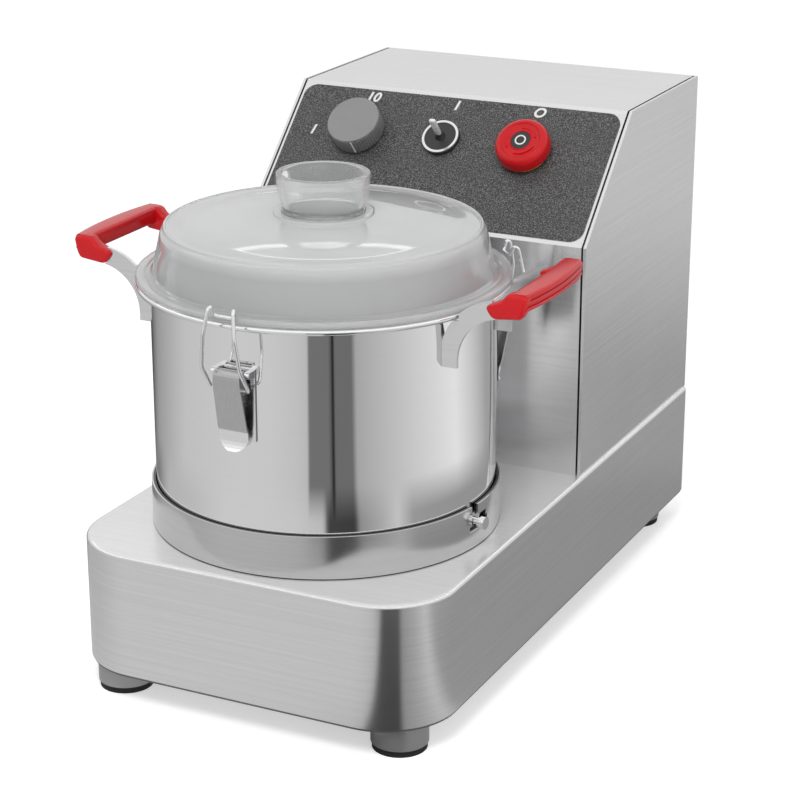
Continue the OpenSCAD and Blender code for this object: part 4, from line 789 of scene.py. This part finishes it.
FAR_CARDS = [(-180, 0.46), (-116, 0.66), (-80, 0.6), (-72.6, 0.55), (-72.0, 0.18), (-44.7, 0.42), (-5, 0.68),
             (28, 0.84), (63, 0.66), (95, 0.5), (130, 0.3), (180, 0.46)]

# The sky's brightness by height, with a thin bright strip all round, a third of the way up
SKY_LEVELS = [(0.0, 0.66), (0.2, 0.82), (0.484, 0.93), (0.49, 3.2), (0.506, 3.2), (0.512, 0.93), (1.0, 0.92)]


def stage_material(name, lay_out):
    material = bpy.data.materials.new(name)
    material.use_nodes = True
    material.node_tree.nodes.clear()
    lay_out(material.node_tree)
    return material


def seen_rays(tree):
    """One for camera, glossy and transmitted rays, and zero for the rest."""
    path = tree.nodes.new("ShaderNodeLightPath")
    total = path.outputs["Is Camera Ray"]
    for key in ("Is Glossy Ray", "Is Transmission Ray"):
        add = tree.nodes.new("ShaderNodeMath")
        add.operation = "MAXIMUM"
        tree.links.new(total, add.inputs[0])
        tree.links.new(path.outputs[key], add.inputs[1])
        total = add.outputs[0]
    return total


def ranged(tree, value, low, high, out_low=0.0, out_high=1.0):
    node = tree.nodes.new("ShaderNodeMapRange")
    for key, number in (("From Min", low), ("From Max", high), ("To Min", out_low), ("To Max", out_high)):
        node.inputs[key].default_value = number
    tree.links.new(value, node.inputs["Value"])
    return node.outputs[0]


def from_centre(tree, place):
    node = tree.nodes.new("ShaderNodeVectorMath")
    node.operation = "LENGTH"
    tree.links.new(place, node.inputs[0])
    return node.outputs["Value"]


def either(tree, fac, first, second):
    """A mix of two shaders by a factor."""
    node = tree.nodes.new("ShaderNodeMixShader")
    for place, socket in enumerate((fac, first, second)):
        tree.links.new(socket, node.inputs[place])
    return node.outputs[0]


def floor_nodes(tree):
    """White that keeps the shadow, lifted a little more where it runs out to the horizon."""
    diffuse = tree.nodes.new("ShaderNodeBsdfDiffuse")
    diffuse.inputs["Color"].default_value = FLOOR_WHITE
    lift = tree.nodes.new("ShaderNodeEmission")
    distance = from_centre(tree, tree.nodes.new("ShaderNodeTexCoord").outputs["Object"])
    tree.links.new(ranged(tree, distance, 1.5, 3.5, FLOOR_LIFT, HORIZON_LIFT), lift.inputs["Strength"])
    both = tree.nodes.new("ShaderNodeAddShader")
    tree.links.new(diffuse.outputs[0], both.inputs[0])
    tree.links.new(lift.outputs[0], both.inputs[1])
    surface = either(tree, seen_rays(tree), diffuse.outputs[0], both.outputs[0])
    tree.links.new(surface, tree.nodes.new("ShaderNodeOutputMaterial").inputs["Surface"])


def levels(tree, share, stops):
    """Brightness by a share from 0 to 1, from stops of share and level."""
    ramp = tree.nodes.new("ShaderNodeValToRGB")
    points = ramp.color_ramp.elements
    while len(points) < len(stops):
        points.new(0.5)
    for point, (place, level) in zip(points, stops):
        point.position = place
        point.color = (level, level, level, 1)
    tree.links.new(share, ramp.inputs[0])
    return ramp.outputs[0]


def round_levels(tree, share, stops):
    """The same for stops in degrees, over a full turn."""
    return levels(tree, share, [((degrees + 180) / 360, level) for degrees, level in stops])


def card_nodes(tree):
    """Brightness of the reflecting cards by direction round the bowl and by distance from it."""
    coords = tree.nodes.new("ShaderNodeTexCoord")
    split = tree.nodes.new("ShaderNodeSeparateXYZ")
    tree.links.new(coords.outputs["Object"], split.inputs[0])
    angle = tree.nodes.new("ShaderNodeMath")
    angle.operation = "ARCTAN2"
    tree.links.new(split.outputs["Y"], angle.inputs[0])
    tree.links.new(split.outputs["X"], angle.inputs[1])
    distance = from_centre(tree, coords.outputs["Object"])
    share = ranged(tree, angle.outputs[0], -math.pi, math.pi)
    level = round_levels(tree, share, NEAR_CARDS)
    for stops, start, end in ((MIDDLE_CARDS, 0.48, 0.58), (FAR_CARDS, 0.85, 1.5)):
        mix = tree.nodes.new("ShaderNodeMix")
        mix.data_type = "RGBA"
        tree.links.new(ranged(tree, distance, start, end), mix.inputs["Factor"])
        tree.links.new(level, mix.inputs[6])
        tree.links.new(round_levels(tree, share, stops), mix.inputs[7])
        level = mix.outputs[2]
    light = tree.nodes.new("ShaderNodeEmission")
    tree.links.new(level, light.inputs["Color"])
    tree.links.new(light.outputs[0], tree.nodes.new("ShaderNodeOutputMaterial").inputs["Surface"])


def disc(name, radius, z, centre, material, steps=64):
    verts = []
    for i in range(steps):
        a = 2 * math.pi * i / steps
        verts.append((radius * math.cos(a), radius * math.sin(a), 0))
    mesh = bpy.data.meshes.new(name)
    mesh.from_pydata(verts, [], [tuple(range(steps))])
    mesh.materials.append(material)
    obj = bpy.data.objects.new(name, mesh)
    obj.location = (*centre, z)
    scene.collection.objects.link(obj)
    return obj


disc("studio_floor", FLOOR_RADIUS, 0.0, (0, 0), stage_material("floor_white", floor_nodes))
cards = disc("studio_cards", CARDS_RADIUS, CARDS_Z, (0, BOWL_Y * MM),
             stage_material("cards_grey", card_nodes))

# The cards show in glossy surfaces only
for ray in ("camera", "diffuse", "transmission", "shadow", "volume_scatter"):
    setattr(cards, f"visible_{ray}", False)

world = bpy.data.worlds.new("studio_world")
scene.world = world
world.use_nodes = True
tree = world.node_tree
tree.nodes.clear()
plain, seen, white = (tree.nodes.new("ShaderNodeBackground") for _ in range(3))
plain.inputs["Strength"].default_value = PLAIN_SKY
seen.inputs["Strength"].default_value = SEEN_SKY
white.inputs["Color"].default_value = (1, 1, 1, 1)
sky = tree.nodes.new("ShaderNodeTexCoord")
height = tree.nodes.new("ShaderNodeSeparateXYZ")
tree.links.new(sky.outputs["Generated"], height.inputs[0])
tree.links.new(levels(tree, height.outputs["Z"], SKY_LEVELS), seen.inputs["Color"])

# The camera sees plain white past the floor's edge
camera_ray = tree.nodes.new("ShaderNodeLightPath").outputs["Is Camera Ray"]
lit = either(tree, seen_rays(tree), plain.outputs[0], seen.outputs[0])
surface = either(tree, camera_ray, lit, white.outputs[0])
tree.links.new(surface, tree.nodes.new("ShaderNodeOutputWorld").inputs["Surface"])

LAMPS_AIM = Vector((0, 0, 0.2))


def lamp(name, at, size, watts):
    """A soft square lamp, unseen in glossy and clear surfaces."""
    data = bpy.data.lights.new(name, "AREA")
    data.size = size
    data.energy = watts
    obj = bpy.data.objects.new(name, data)
    obj.location = at
    obj.rotation_euler = (Vector(at) - LAMPS_AIM).to_track_quat("Z", "Y").to_euler()
    obj.visible_glossy = False
    obj.visible_transmission = False
    scene.collection.objects.link(obj)


lamp("key_lamp", (0.5, -1.7, 2.4), 0.9, 28)
lamp("fill_lamp", (1.9, -1.5, 1.2), 1.6, 8)

# The camera, as solved from the photograph: focal length in its pixels, place and backward direction
SENSOR = 36
FOCAL_PIXELS = 2313.25
PICTURE_PIXELS = 800
CAMERA_AT = (0.7726, -1.5789, 0.7885)
CAMERA_BACK = (0.41516, -0.84707, 0.33181)

camera = bpy.data.objects.new("camera", bpy.data.cameras.new("camera"))
camera.data.sensor_width = SENSOR
camera.data.lens = SENSOR * FOCAL_PIXELS / PICTURE_PIXELS
camera.data.clip_end = 50
back = Vector(CAMERA_BACK).normalized()
right = Vector((0, 0, 1)).cross(back).normalized()
turn = Matrix((right, back.cross(right), back)).transposed().to_4x4()
camera.matrix_world = Matrix.Translation(CAMERA_AT) @ turn
scene.collection.objects.link(camera)
scene.camera = camera
